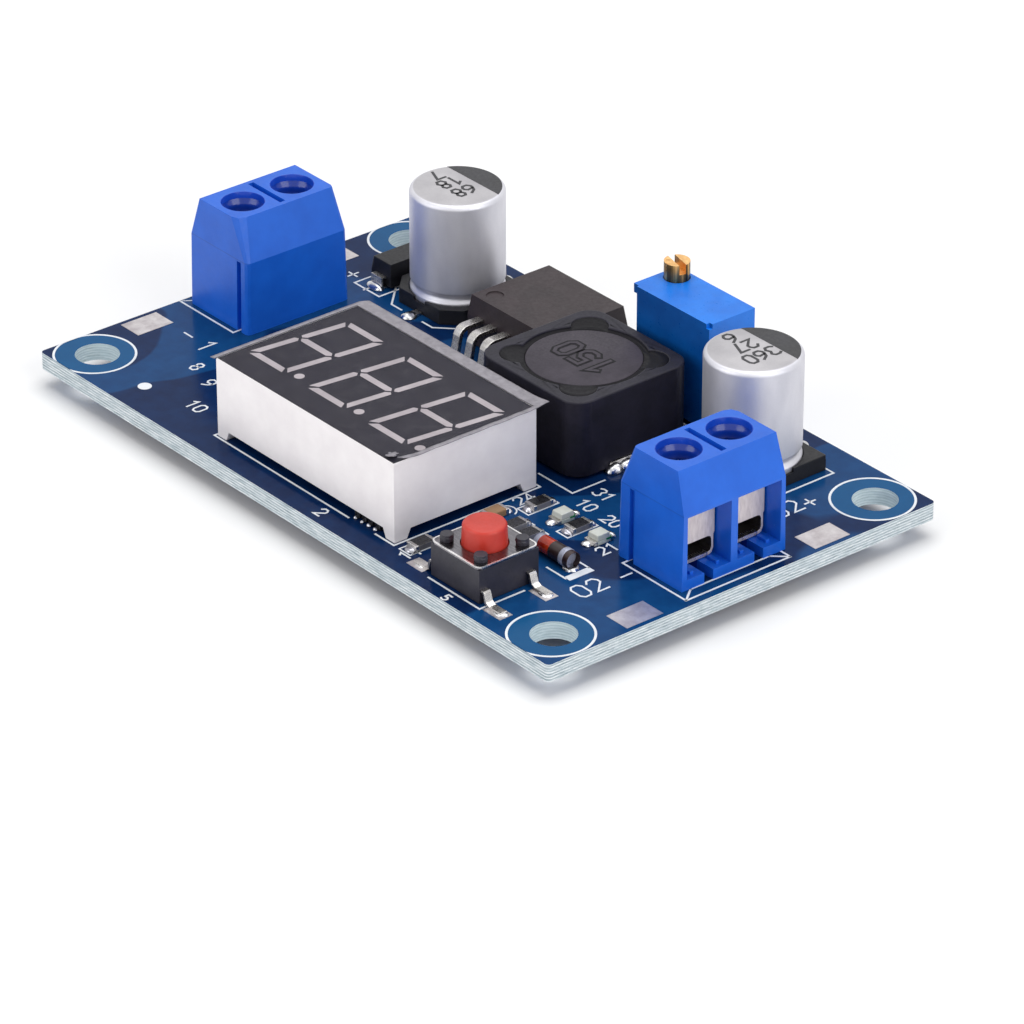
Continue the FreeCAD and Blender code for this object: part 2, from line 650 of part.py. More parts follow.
drum_top = IND_Z1 - DRUM_TOP_DROP
drum = joined([
    post(ind_x, ind_y, drum_top - DRUM_FLANGE, drum_top, DRUM_R),
    faceted_post(ind_x, ind_y, IND_Z0 + DRUM_FLANGE - 0.1, drum_top - DRUM_FLANGE + 0.1, DRUM_HUB_R,
                 RING_FACETS),
    post(ind_x, ind_y, IND_Z0, IND_Z0 + DRUM_FLANGE, DRUM_R),
])
save("inductor_drum_core", drum)
winding_z0 = IND_Z0 + DRUM_FLANGE + 0.05
winding_z1 = drum_top - DRUM_FLANGE - 0.05
winding = faceted_post(ind_x, ind_y, winding_z0, winding_z1, DRUM_R - WINDING_INSET, RING_FACETS)
hub_clear = faceted_post(ind_x, ind_y, winding_z0 - 1, winding_z1 + 1, DRUM_HUB_R + 0.05, RING_FACETS)
save("inductor_winding", winding.cut(hub_clear))
glue = []
drum_clear = post(ind_x, ind_y, IND_Z0, IND_Z1 + 1, DRUM_R + 0.02)
for x, y in glue_posts:
    glue.append(post(x, y, IND_Z1 - GLUE_DEPTH + 0.02, IND_Z1 - 0.03, GLUE_R - 0.02).cut(drum_clear))
save("inductor_adhesive", Part.makeCompound([g.Solids[0] for g in glue]))
clips = []
for side in (-1, 1):
    face = ind_x + side * INDUCTOR_SIZE_X / 2
    inner = face - side * INDUCTOR_CLIP_THICK
    under = face - side * INDUCTOR_CLIP_FOOT
    y0 = ind_y - clip_half
    y1 = ind_y + clip_half
    upright = block(min(face, inner), max(face, inner), y0, y1, TOP, TOP + INDUCTOR_CLIP_HEIGHT)
    foot = block(min(face, under), max(face, under), y0, y1, TOP, TOP + INDUCTOR_STANDOFF - 0.02)
    clips.append(joined([upright, foot]))
save("inductor_terminals", Part.makeCompound(clips))


# Switching regulator
rx, ry = REGULATOR_AT
reg_z0 = TOP + 0.1
reg_mid = TOP + REGULATOR_LEAD_Z
half_x = REGULATOR_X / 2
half_y = REGULATOR_Y / 2
lower_body = block(rx - half_x, rx + half_x, ry - half_y, ry + half_y, reg_z0, reg_mid)
upper_body = tapered(
    (rx - half_x, rx + half_x, ry - half_y, ry + half_y, reg_mid),
    (rx - half_x + REGULATOR_DRAFT, rx + half_x - REGULATOR_DRAFT, ry - half_y + REGULATOR_DRAFT,
     ry + half_y - REGULATOR_DRAFT, TOP + REGULATOR_TOP),
)
tab_z0 = TOP + 0.02
tab_z1 = tab_z0 + TAB_THICK
tab_y1 = ry + half_y + TAB_REACH
tab_shape = block(rx - half_x + 0.1, rx + half_x - 0.1, ry - half_y + 2.0, tab_y1, tab_z0, tab_z1)


def lead_profile(face_y, z_exit, thick):
    half = thick / 2
    fall = math.radians(REGULATOR_LEAD_FALL)
    middle_line = [(face_y + REGULATOR_LEAD_ROOT, z_exit, 0.0)]
    bend_y = face_y - REGULATOR_LEAD_RUN
    for step in range(BEND_STEPS + 1):
        turn = fall * step / BEND_STEPS
        middle_line.append((bend_y - REGULATOR_LEAD_BEND_R * math.sin(turn),
                            z_exit - REGULATOR_LEAD_BEND_R * (1 - math.cos(turn)), turn))
    last_y, last_z, turn = middle_line[-1]
    drop = last_z - (TOP + half) - REGULATOR_LEAD_FOOT_R * (1 - math.cos(fall))
    knee_y = last_y - drop / math.tan(fall)
    for step in range(BEND_STEPS + 1):
        turn = fall * (1 - step / BEND_STEPS)
        middle_line.append((knee_y - REGULATOR_LEAD_FOOT_R * (math.sin(fall) - math.sin(turn)),
                            TOP + half + REGULATOR_LEAD_FOOT_R * (1 - math.cos(turn)), turn))
    foot_y = middle_line[-1][0] - REGULATOR_LEAD_FOOT
    middle_line.append((foot_y, TOP + half, 0.0))
    upper = [(y - half * math.sin(turn), z + half * math.cos(turn)) for y, z, turn in middle_line]
    lower = [(y + half * math.sin(turn), z - half * math.cos(turn)) for y, z, turn in middle_line]
    return upper + lower[::-1]


lead_cuts = []
reg_leads = []
for index in range(REGULATOR_LEAD_COUNT):
    lead_x = rx + (index - (REGULATOR_LEAD_COUNT - 1) / 2) * REGULATOR_LEAD_PITCH
    w = REGULATOR_LEAD_WIDTH / 2
    t = REGULATOR_LEAD_THICK
    face_y = ry - half_y
    reg_leads.append(end_prism(lead_profile(face_y, reg_mid, t), lead_x - w, lead_x + w))
    lead_cuts.append(block(lead_x - w, lead_x + w, face_y - 1, face_y + REGULATOR_LEAD_ROOT,
                           reg_mid - t / 2, reg_mid + t / 2))
dimple = post(rx - half_x + DIMPLE_INSET, ry - half_y + DIMPLE_INSET, TOP + REGULATOR_TOP - DIMPLE_DEPTH,
              TOP + REGULATOR_TOP + 1, DIMPLE_R)
body = lower_body.fuse(upper_body).cut([tab_shape, dimple] + lead_cuts).removeSplitter()
save("regulator_body", body)
save("regulator_tab", tab_shape)
save("regulator_leads", Part.makeCompound(reg_leads))


# Input power diode
dx, dy = DIODE_AT
d_mid = TOP + 1.1
inset = 0.15
body = tapered(
    (dx - DIODE_X / 2, dx + DIODE_X / 2, dy - DIODE_Y / 2, dy + DIODE_Y / 2, d_mid),
    (dx - DIODE_X / 2 + inset, dx + DIODE_X / 2 - inset, dy - DIODE_Y / 2 + inset, dy + DIODE_Y / 2 - inset,
     TOP + DIODE_TOP),
)
body = body.fuse(centred(DIODE_AT, DIODE_X, DIODE_Y, TOP + DIODE_LEAD_THICK + 0.02, d_mid)).removeSplitter()
diode_leads = []
for side in (-1, 1):
    face_y = dy + side * DIODE_Y / 2
    out_y = face_y + side * DIODE_LEAD_REACH
    t = DIODE_LEAD_THICK
    points = [
        (face_y - side * 0.5, d_mid), (out_y, d_mid), (out_y, TOP), (face_y - side * 1.0, TOP),
        (face_y - side * 1.0, TOP + t), (out_y - side * t, TOP + t), (out_y - side * t, d_mid - t),
        (face_y - side * 0.5, d_mid - t),
    ]
    diode_leads.append(end_prism(points, dx - DIODE_LEAD_WIDTH / 2, dx + DIODE_LEAD_WIDTH / 2))
save("input_diode_body", body.cut(diode_leads))
save("input_diode_leads", Part.makeCompound(diode_leads))


# Trimmer
tx, ty = TRIMMER_AT
screw_x = tx + TRIMMER_SCREW_AT[0]
screw_y = ty + TRIMMER_SCREW_AT[1]
housing = centred(TRIMMER_AT, TRIMMER_X, TRIMMER_Y, TOP, TOP + TRIMMER_TOP)
cavity_x0 = tx - TRIMMER_X / 2 + TRIMMER_LIP_REACH + TRIMMER_WALL
cavity_x1 = tx + TRIMMER_X / 2 - TRIMMER_WALL
cavity_half = TRIMMER_Y / 2 - TRIMMER_WALL
inner = block(cavity_x0, cavity_x1, ty - cavity_half, ty + cavity_half, TOP - 1, TOP + TRIMMER_CAVITY)
gap_x = centred(TRIMMER_AT, TRIMMER_X - 2 * TRIMMER_GAP_INSET, TRIMMER_Y + 2, TOP - 1, TOP + TRIMMER_SKIRT)
trimmer_top = TOP + TRIMMER_TOP
screw_bottom = trimmer_top - TRIMMER_SCREW_DEPTH
screw_well_r = TRIMMER_SCREW_R + TRIMMER_SCREW_GAP
head_bottom = trimmer_top - TRIMMER_HEAD_DEPTH
screw_well = post(screw_x, screw_y, head_bottom - 0.02, trimmer_top + 1, screw_well_r)
shaft_well = post(screw_x, screw_y, screw_bottom - 0.1, trimmer_top, TRIMMER_SHAFT_R + TRIMMER_SCREW_GAP)
lip_x = tx - TRIMMER_X / 2
end_cut = block(lip_x - 1, lip_x + TRIMMER_LIP_REACH, ty - TRIMMER_Y, ty + TRIMMER_Y, TOP - 1,
                trimmer_top - TRIMMER_LIP_DROP)
lip_cuts = []
for side in (-1, 1):
    outer = ty + side * TRIMMER_Y
    kept = ty + side * (TRIMMER_Y / 2 - TRIMMER_LIP_INSET)
    lip_cuts.append(block(lip_x - 1, lip_x + TRIMMER_LIP_REACH, min(outer, kept), max(outer, kept), TOP - 1,
                          trimmer_top + 1))
step_near = block(tx + TRIMMER_X / 2 - TRIMMER_STEP, tx + TRIMMER_X / 2 + 1, ty - TRIMMER_Y,
                  ty - TRIMMER_Y / 2 + TRIMMER_STEP, trimmer_top - TRIMMER_STEP_DROP, trimmer_top + 1)
trimmer_cuts = [inner, gap_x, screw_well, shaft_well, end_cut, step_near] + lip_cuts
save("trimmer_housing", housing.cut(trimmer_cuts).removeSplitter())
slot_top = trimmer_top + TRIMMER_SCREW_RISE
screw = post(screw_x, screw_y, head_bottom, slot_top, TRIMMER_SCREW_R)
screw = screw.fuse(post(screw_x, screw_y, screw_bottom, head_bottom, TRIMMER_SHAFT_R))
slot_length = 4 * TRIMMER_SCREW_R
slot = Part.makeBox(slot_length, TRIMMER_SLOT_WIDTH, TRIMMER_SLOT_DEPTH + 1,
                    V(-slot_length / 2, -TRIMMER_SLOT_WIDTH / 2, 0))
slot.rotate(V(0, 0, 0), V(0, 0, 1), TRIMMER_SLOT_TURN)
slot.translate(V(screw_x, screw_y, slot_top - TRIMMER_SLOT_DEPTH))
save("trimmer_screw", screw.cut(slot))
potting = block(cavity_x0 + 0.02, cavity_x1 - 0.02, ty - cavity_half + 0.02, ty + cavity_half - 0.02,
                TOP + TRIMMER_SKIRT, TOP + TRIMMER_CAVITY - 0.02)
trimmer_pins = []
for index in range(TRIMMER_PIN_COUNT):
    pin_x = tx + (index - (TRIMMER_PIN_COUNT - 1) / 2) * TRIMMER_PIN_PITCH
    trimmer_pins.append(faceted_post(pin_x, ty, -TAIL_DROP, TOP + TRIMMER_SKIRT - 0.01, TRIMMER_PIN_R))
    lead_hole(pin_x, ty, TRIMMER_PIN_R)
save("trimmer_base", potting)
save("trimmer_pins", Part.makeCompound(trimmer_pins))


# Display
px, py = DISPLAY_AT
disp_x0 = px - DISPLAY_X / 2
disp_x1 = px + DISPLAY_X / 2
disp_y0 = py - DISPLAY_Y / 2
disp_y1 = py + DISPLAY_Y / 2
disp_top = TOP + DISPLAY_TOP
shell = centred(DISPLAY_AT, DISPLAY_X, DISPLAY_Y, TOP, disp_top)
cavity_x = DISPLAY_X - 2 * DISPLAY_WALL
cavity_y = DISPLAY_Y - 2 * DISPLAY_WALL
face_size_x = DISPLAY_X - 2 * FACE_RIM
face_size_y = DISPLAY_Y - 2 * FACE_RIM
cavity = centred(DISPLAY_AT, cavity_x, cavity_y, TOP - 1, TOP + DISPLAY_CAVITY_TOP)
recess = centred(DISPLAY_AT, face_size_x, face_size_y, disp_top - FACE_THICK, disp_top + 1)
long_gap = side_prism([
    (disp_x0 + FOOT_X, TOP - 0.5), (disp_x1 - FOOT_X, TOP - 0.5), (disp_x1 - FOOT_X, TOP),
    (disp_x1 - FOOT_X - FOOT_SLANT, TOP + FOOT_HEIGHT), (disp_x0 + FOOT_X + FOOT_SLANT, TOP + FOOT_HEIGHT),
    (disp_x0 + FOOT_X, TOP),
], disp_y0 - 1, disp_y1 + 1)
short_gap = end_prism([
    (disp_y0 + FOOT_Y, TOP - 0.5), (disp_y1 - FOOT_Y, TOP - 0.5), (disp_y1 - FOOT_Y, TOP),
    (disp_y1 - FOOT_Y - FOOT_SLANT, TOP + FOOT_HEIGHT), (disp_y0 + FOOT_Y + FOOT_SLANT, TOP + FOOT_HEIGHT),
    (disp_y0 + FOOT_Y, TOP),
], disp_x0 - 1, disp_x1 + 1)
save("display_housing", shell.cut([cavity, recess, long_gap, short_gap]).removeSplitter())


def slanted(x, y, centre_x):
    return (centre_x + x + DIGIT_SLANT * y, py + DIGITS_SHIFT[1] + y)


def bar_points(x0, y0, x1, y1, centre_x):
    half = SEGMENT_WIDTH / 2
    gap = SEGMENT_GAP
    if y0 == y1:
        raw = [(x0 + gap, y0), (x0 + gap + half, y0 + half), (x1 - gap - half, y0 + half), (x1 - gap, y0),
               (x1 - gap - half, y0 - half), (x0 + gap + half, y0 - half)]
    else:
        raw = [(x0, y0 + gap), (x0 + half, y0 + gap + half), (x0 + half, y1 - gap - half), (x0, y1 - gap),
               (x0 - half, y1 - gap - half), (x0 - half, y0 + gap + half)]
    return [slanted(x, y, centre_x) for x, y in raw]


segments = []
for index in range(DIGIT_COUNT):
    centre_x = px + DIGITS_SHIFT[0] + (index - (DIGIT_COUNT - 1) / 2) * DIGIT_PITCH
    right = (DIGIT_WIDTH - SEGMENT_WIDTH) / 2
    high = (DIGIT_HEIGHT - SEGMENT_WIDTH) / 2
    lines = [
        (-right, high, right, high), (-right, 0, right, 0), (-right, -high, right, -high),
        (-right, 0, -right, high), (right, 0, right, high),
        (-right, -high, -right, 0), (right, -high, right, 0),
    ]
    for x0, y0, x1, y1 in lines:
        segments.append(prism(bar_points(x0, y0, x1, y1, centre_x), disp_top - SEGMENT_DEPTH, disp_top))
    dot_x, dot_y = slanted(right + DOT_OFFSET_X, DOT_RISE - high, centre_x)
    segments.append(faceted_post(dot_x, dot_y, disp_top - SEGMENT_DEPTH, disp_top, DOT_R, FINE_FACETS))
face = centred(DISPLAY_AT, face_size_x, face_size_y, disp_top - FACE_THICK, disp_top)
save("display_face", face.cut(segments))
save("display_segments", Part.makeCompound(segments))
film_z0 = disp_top + 0.01
film_points = [
    (disp_x0 - FILM_OVERHANG_LEFT, disp_y0), (disp_x1 - FILM_TEAR_X, disp_y0),
    (disp_x1 - 0.6 * FILM_TEAR_X, disp_y0 + 0.3 * FILM_TEAR_Y),
    (disp_x1 - 0.45 * FILM_TEAR_X, disp_y0 + 0.2 * FILM_TEAR_Y),
    (disp_x1 - 0.15 * FILM_TEAR_X, disp_y0 + 0.5 * FILM_TEAR_Y),
    (disp_x1 + FILM_OVERHANG_RIGHT, disp_y0 + FILM_TEAR_Y),
    (disp_x1 + FILM_OVERHANG_RIGHT, disp_y1 + FILM_OVERHANG_BACK),
    (disp_x0, disp_y1 + FILM_OVERHANG_BACK), (disp_x0 - FILM_OVERHANG_LEFT, disp_y1),
]
save("display_film", prism(film_points, film_z0, film_z0 + FILM_THICK))
back_z1 = TOP + DISPLAY_CAVITY_TOP - 0.02
back_board = centred(DISPLAY_AT, cavity_x - 0.1, cavity_y - 0.1, back_z1 - BACK_BOARD_THICK, back_z1)
display_pins = []
for row in (-1, 1):
    for index in range(DISPLAY_PIN_COUNT):
        pin_x = px + (index - (DISPLAY_PIN_COUNT - 1) / 2) * DISPLAY_PIN_PITCH
        pin_y = py + row * DISPLAY_ROW_SPACING / 2
        display_pins.append(centred((pin_x, pin_y), DISPLAY_PIN_SIZE, DISPLAY_PIN_SIZE, -TAIL_DROP,
                                    back_z1 - BACK_BOARD_THICK - 0.01))
        lead_hole(pin_x, pin_y, DISPLAY_PIN_SIZE * math.sqrt(0.5))
save("display_back_board", back_board)
save("display_pins", Part.makeCompound(display_pins))


# Push button
bx, by = BUTTON_AT
cover_z0 = TOP + BUTTON_BASE_TOP
cover_z1 = cover_z0 + COVER_THICK
stud_spots = [(bx + sx * STUD_OFFSET, by + sy * STUD_OFFSET) for sx in (-1, 1) for sy in (-1, 1)]
base = centred(BUTTON_AT, BUTTON_SIZE - 0.1, BUTTON_SIZE - 0.1, TOP + 0.05, cover_z0)
well = post(bx, by, TOP + BUTTON_WELL_FLOOR, cover_z0 + 1, BUTTON_WELL_R)
stud_parts = []
for x, y in stud_spots:
    stud_parts.append(faceted_post(x, y, cover_z0 - 0.3, cover_z1 + 0.05, STUD_R))
    stud_parts.append(faceted_post(x, y, cover_z1 + 0.01, cover_z1 + STUD_HEAD_HEIGHT, STUD_HEAD_R,
                                   FINE_FACETS))
legs = []
leg_cuts = []
for side in (-1, 1):
    for offset in (-LEG_OFFSET, LEG_OFFSET):
        face_x = bx + side * BUTTON_SIZE / 2
        root_x = face_x - side * LEG_ROOT
        drop_x = face_x + side * LEG_DROP_OUT
        knee_x = face_x + side * LEG_KNEE_OUT
        toe_x = face_x + side * LEG_REACH
        z_exit = TOP + LEG_EXIT_Z
        t = LEG_THICK
        points = [
            (root_x, z_exit), (drop_x - side * t / 2, z_exit), (drop_x, z_exit - t / 2),
            (knee_x - side * t, TOP + 2 * t), (knee_x + side * t, TOP + t), (toe_x, TOP + t),
            (toe_x, TOP), (knee_x, TOP), (knee_x - side * 2 * t, TOP + t),
            (drop_x - side * t, z_exit - t), (root_x, z_exit - t),
        ]
        leg_y = by + LEG_SHIFT_Y + offset
        leg = side_prism(points, leg_y - LEG_WIDTH / 2, leg_y + LEG_WIDTH / 2)
        legs.append(leg)
        leg_cuts.append(leg)
save("button_base", base.cut([well] + leg_cuts).fuse(stud_parts).removeSplitter())
save("button_legs", Part.makeCompound(legs))
cover = centred(BUTTON_AT, BUTTON_SIZE, BUTTON_SIZE, cover_z0 + 0.005, cover_z1)
cover = cover.makeFillet(COVER_CORNER_R, upright_edges(cover))
cover_cuts = [post(bx, by, cover_z0 - 1, cover_z1 + 1, PLUNGER_R + PLUNGER_GAP)]
cover_cuts += [faceted_post(x, y, cover_z0 - 1, cover_z1 + 1, STUD_R + 0.02) for x, y in stud_spots]
save("button_cover", cover.cut(cover_cuts))
plunger_bottom = TOP + BUTTON_WELL_FLOOR + DOME_RISE + DOME_THICK + 0.02
plunger_top = TOP + PLUNGER_TOP
flange_top = cover_z0 - PLUNGER_GAP
flange_z = flange_top - PLUNGER_FLANGE
plunger = turned([
    (0, plunger_bottom), (PLUNGER_STEM_R, plunger_bottom), (PLUNGER_STEM_R, flange_z),
    (PLUNGER_FLANGE_R, flange_z), (PLUNGER_FLANGE_R, flange_top), (PLUNGER_R, flange_top),
    (PLUNGER_R, cover_z1 + BUTTON_STROKE), (PLUNGER_TOP_R, plunger_top - PLUNGER_EDGE_R),
    (PLUNGER_TOP_R - PLUNGER_EDGE_R, plunger_top), (0, plunger_top),
], bx, by)
save("button_plunger", plunger)
dome_z = TOP + BUTTON_WELL_FLOOR + 0.01


def dome_ring(radius, z):
    corners = []
    for step in range(RING_FACETS + 1):
        angle = 2 * math.pi * step / RING_FACETS
        corners.append(V(bx + radius * math.cos(angle), by + radius * math.sin(angle), z))
    return Part.makePolygon(corners)


dome_outside = [dome_ring(DOME_R, dome_z), dome_ring(DOME_CROWN_R, dome_z + DOME_RISE + DOME_THICK)]
dome_inside = [dome_ring(DOME_R - DOME_THICK, dome_z - 0.01)]
dome_inside.append(dome_ring(DOME_CROWN_R - DOME_THICK, dome_z + DOME_RISE))
dome = Part.makeLoft(dome_outside, True, True).cut(Part.makeLoft(dome_inside, True, True))
save("button_dome", dome)


# Glass diode
gx, gy = GLASS_DIODE_AT
glass_z = TOP + GLASS_CAP_R + 0.02
glass_half = GLASS_DIODE_LENGTH / 2
glass = Part.makeCylinder(GLASS_DIODE_R, GLASS_DIODE_LENGTH - 2 * GLASS_CAP_LENGTH,
                          V(gx - glass_half + GLASS_CAP_LENGTH, gy, glass_z), V(1, 0, 0))
save("glass_diode_body", glass)
caps = []
for cap_x in (gx - glass_half, gx + glass_half - GLASS_CAP_LENGTH):
    caps.append(Part.makeCylinder(GLASS_CAP_R, GLASS_CAP_LENGTH, V(cap_x, gy, glass_z), V(1, 0, 0)))
save("glass_diode_end_caps", Part.makeCompound(caps))


# Indicator lights
def indicator(at):
    base = centred(at, LED_WIDTH, LED_LENGTH, TOP + 0.02, TOP + LED_BASE)
    half_x = LED_WIDTH / 2
    half_y = LED_LENS / 2
    lens = tapered(
        (at[0] - half_x, at[0] + half_x, at[1] - half_y, at[1] + half_y, TOP + LED_BASE),
        (at[0] - half_x + LED_DRAFT, at[0] + half_x - LED_DRAFT, at[1] - half_y + LED_DRAFT,
         at[1] + half_y - LED_DRAFT, TOP + LED_TOP),
    )
    return base.fuse(lens).removeSplitter()


save("input_led", indicator(INPUT_LED_AT))
save("output_led", indicator(OUTPUT_LED_AT))


# Chip parts
def chip(at, top):
    body = centred(at, CHIP_WIDTH, CHIP_LENGTH, TOP + 0.02, TOP + top)
    return body


for number, at in enumerate(CHIP_RESISTORS_AT, 1):
    save("chip_resistor_" + str(number), chip(at, CHIP_TOP))
save("chip_capacitor", chip(CHIP_CAPACITOR_AT, CHIP_CAPACITOR_TOP))
array = centred(ARRAY_AT, ARRAY_X, ARRAY_Y, TOP + 0.02, TOP + ARRAY_TOP)
notches = []
for side in (-1, 1):
    for index in range(3):
        notch_at = (ARRAY_AT[0] + (index - 1) * ARRAY_X / 4, ARRAY_AT[1] + side * ARRAY_Y / 2)
        notches.append(centred(notch_at, 2 * ARRAY_NOTCH, 2 * ARRAY_NOTCH, TOP - 1, TOP + ARRAY_TOP + 1))
save("resistor_array", array.cut(notches))

# Integrated circuits under the display
cx, cy = CONTROLLER_AT
controller = [centred(CONTROLLER_AT, CONTROLLER_X, CONTROLLER_Y, TOP + 0.1, TOP + CONTROLLER_TOP)]
for side in (-1, 1):
    for index in range(CONTROLLER_LEADS):
        lead_x = cx + (index - (CONTROLLER_LEADS - 1) / 2) * CONTROLLER_PITCH
        face_y = cy + side * (CONTROLLER_Y / 2 - 0.1)
        toe_y = cy + side * (CONTROLLER_Y / 2 + CONTROLLER_LEAD_REACH)
        controller.append(block(lead_x - CONTROLLER_LEAD_WIDTH / 2, lead_x + CONTROLLER_LEAD_WIDTH / 2,
                                min(face_y, toe_y), max(face_y, toe_y), TOP, TOP + CONTROLLER_LEAD_THICK))
save("display_controller", joined(controller))
lx, ly = LOGIC_REGULATOR_AT
logic_top = TOP + LOGIC_REGULATOR_TOP
logic = [centred(LOGIC_REGULATOR_AT, LOGIC_REGULATOR_X, LOGIC_REGULATOR_Y, TOP + 0.02, logic_top)]
for index in range(3):
    lead_x = lx + (index - 1) * LOGIC_REGULATOR_PITCH
    logic.append(block(lead_x - 0.22, lead_x + 0.22, ly - LOGIC_REGULATOR_Y / 2 - 0.9, ly, TOP, TOP + 0.35))
logic.append(block(lx - 0.85, lx + 0.85, ly, ly + LOGIC_REGULATOR_Y / 2 + 0.7, TOP, TOP + 0.35))
save("logic_regulator", joined(logic))


# Circuit board with its mounting holes and lead holes
board = centred((0, 0), BOARD_LENGTH, BOARD_WIDTH, 0, TOP)
board = board.makeFillet(BOARD_CORNER_R, upright_edges(board))
holes = []
for sx in (-1, 1):
    for sy in (-1, 1):
        holes.append(post(sx * (EDGE_X - HOLE_INSET), sy * (EDGE_Y - HOLE_INSET), -1, TOP + 1, HOLE_R))
for x, y, radius in LEAD_HOLES:
    holes.append(faceted_post(x, y, -1, TOP + 1, radius))
save("circuit_board", board.cut(holes))
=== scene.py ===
import math
import random

import bmesh
import bpy
from mathutils import Matrix, Vector


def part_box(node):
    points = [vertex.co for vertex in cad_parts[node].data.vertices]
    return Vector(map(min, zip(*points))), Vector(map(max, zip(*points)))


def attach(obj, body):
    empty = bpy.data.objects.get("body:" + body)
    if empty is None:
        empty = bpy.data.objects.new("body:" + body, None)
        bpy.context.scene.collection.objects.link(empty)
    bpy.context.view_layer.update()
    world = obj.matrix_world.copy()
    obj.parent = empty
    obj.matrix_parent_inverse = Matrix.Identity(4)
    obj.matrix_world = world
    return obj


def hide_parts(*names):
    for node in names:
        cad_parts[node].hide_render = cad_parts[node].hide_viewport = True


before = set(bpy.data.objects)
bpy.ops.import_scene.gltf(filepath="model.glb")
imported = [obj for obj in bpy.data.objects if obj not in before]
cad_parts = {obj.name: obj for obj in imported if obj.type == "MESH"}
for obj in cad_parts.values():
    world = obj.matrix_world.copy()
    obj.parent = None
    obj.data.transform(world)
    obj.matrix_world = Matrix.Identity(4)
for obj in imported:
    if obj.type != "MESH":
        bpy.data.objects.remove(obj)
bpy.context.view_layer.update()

MM = 0.001
RNG = random.Random(7)

# The camera that was solved from the photograph, about the middle of the board's top face
CAMERA_AZIMUTH = math.radians(50.59)
CAMERA_ELEVATION = math.radians(29.33)
CAMERA_DISTANCE = 486.65
CAMERA_RIGHT = 2.73
CAMERA_UP = -6.95
CAMERA_LENS = 214.0
SENSOR_WIDTH = 36.0


# Places read from the frame, in millimetres
def low(node):
    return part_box(node)[0] / MM


def high(node):
    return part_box(node)[1] / MM


def span(node):
    return low(node), high(node)


def middle(node):
    return (low(node) + high(node)) / 2


ENDS = ("input", "output")
POLES = [(end, sign) for end in ENDS for sign in ("minus", "plus")]
CHIP_RESISTORS = ["chip_resistor_" + str(number) for number in range(1, 6)]
SIDES = [(-1, -1), (-1, 1), (1, -1), (1, 1)]
TOP = high("circuit_board").z
BOARD_HALF_X = high("circuit_board").x
BOARD_HALF_Y = high("circuit_board").y
FLOOR_Z = low("display_pins").z
HOLE_X = 29.15
HOLE_Y = 16.35
RING_R = 3.37
RING_SHIFT = (-0.13, -0.16)
SCREW_HOLE_R = 1.81
SHOULDER_LINE_RISE = 6.5
SILK_RISE = 0.025
PAD_RISE = 0.03
SINK = 0.01


# Mesh helpers: every length is in millimetres
def add_object(name, data):
    made = bpy.data.objects.new(name, data)
    bpy.context.scene.collection.objects.link(made)
    return made


def finish_mesh(name, bm, material, body="board", smooth=True, angle=35, bevel=0):
    bmesh.ops.remove_doubles(bm, verts=bm.verts, dist=1e-4)
    bmesh.ops.recalc_face_normals(bm, faces=bm.faces)
    bmesh.ops.scale(bm, vec=(MM, MM, MM), verts=bm.verts)
    mesh = bpy.data.meshes.new(name)
    bm.to_mesh(mesh)
    bm.free()
    piece = add_object(name, mesh)
    mesh.materials.append(material)
    if smooth:
        mesh.polygons.foreach_set("use_smooth", [True] * len(mesh.polygons))
        mesh.set_sharp_from_angle(angle=math.radians(angle))
    if bevel:
        round_edges(piece, bevel)
    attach(piece, body)
    return piece


def round_edges(piece, width, segments=2, weld=False, angle=32):
    if weld:
        modifier = piece.modifiers.new("Weld", "WELD")
        modifier.merge_threshold = 1e-6
    modifier = piece.modifiers.new("Bevel", "BEVEL")
    modifier.width = width * MM
    modifier.segments = segments
    modifier.limit_method = "ANGLE"
    modifier.angle_limit = math.radians(angle)
    modifier.harden_normals = True
    modifier.use_clamp_overlap = True


def thicken(piece, depth, offset):
    modifier = piece.modifiers.new("Thickness", "SOLIDIFY")
    modifier.thickness = depth * MM
    modifier.offset = offset


def lathe(bm, profile, centre, steps=64, axis="Z"):
    rings = []
    for radius, along in profile:
        ring = []
        if radius < 1e-6:
            ring.append(bm.verts.new(turn_point(0, 0, along, centre, axis)))
        else:
            for step in range(steps):
                angle = 2 * math.pi * step / steps
                spot = turn_point(radius * math.cos(angle), radius * math.sin(angle), along, centre, axis)
                ring.append(bm.verts.new(spot))
        rings.append(ring)
    for first, second in zip(rings, rings[1:]):
        for step in range(steps):
            nxt = (step + 1) % steps
            if len(first) == 1 and len(second) == 1:
                continue
            if len(first) == 1:
                bm.faces.new((first[0], second[step], second[nxt]))
            elif len(second) == 1:
                bm.faces.new((first[step], first[nxt], second[0]))
            else:
                bm.faces.new((first[step], first[nxt], second[nxt], second[step]))


def turn_point(a, b, along, centre, axis):
    x, y, z = centre
    if axis == "X":
        return (x + along, y + a, z + b)
    return (x + a, y + b, z + along)


def loft(bm, bottom, top, z0, z1):
    lower = [bm.verts.new((x, y, z0)) for x, y in bottom]
    upper = [bm.verts.new((x, y, z1)) for x, y in top]
    bm.faces.new(upper)
    bm.faces.new(lower[::-1])
    for index in range(len(lower)):
        nxt = (index + 1) % len(lower)
        bm.faces.new((lower[index], lower[nxt], upper[nxt], upper[index]))


def slab(bm, outline, z0, z1):
    loft(bm, outline, outline, z0, z1)


def corners(x0, x1, y0, y1):
    return [(x0, y0), (x1, y0), (x1, y1), (x0, y1)]


def brick(bm, x0, x1, y0, y1, z0, z1):
    slab(bm, corners(x0, x1, y0, y1), z0, z1)


def arc_points(x, y, radius, start, end, steps):
    points = []
    for step in range(steps + 1):
        angle = math.radians(start + (end - start) * step / steps)
        points.append((x + radius * math.cos(angle), y + radius * math.sin(angle)))
    return points


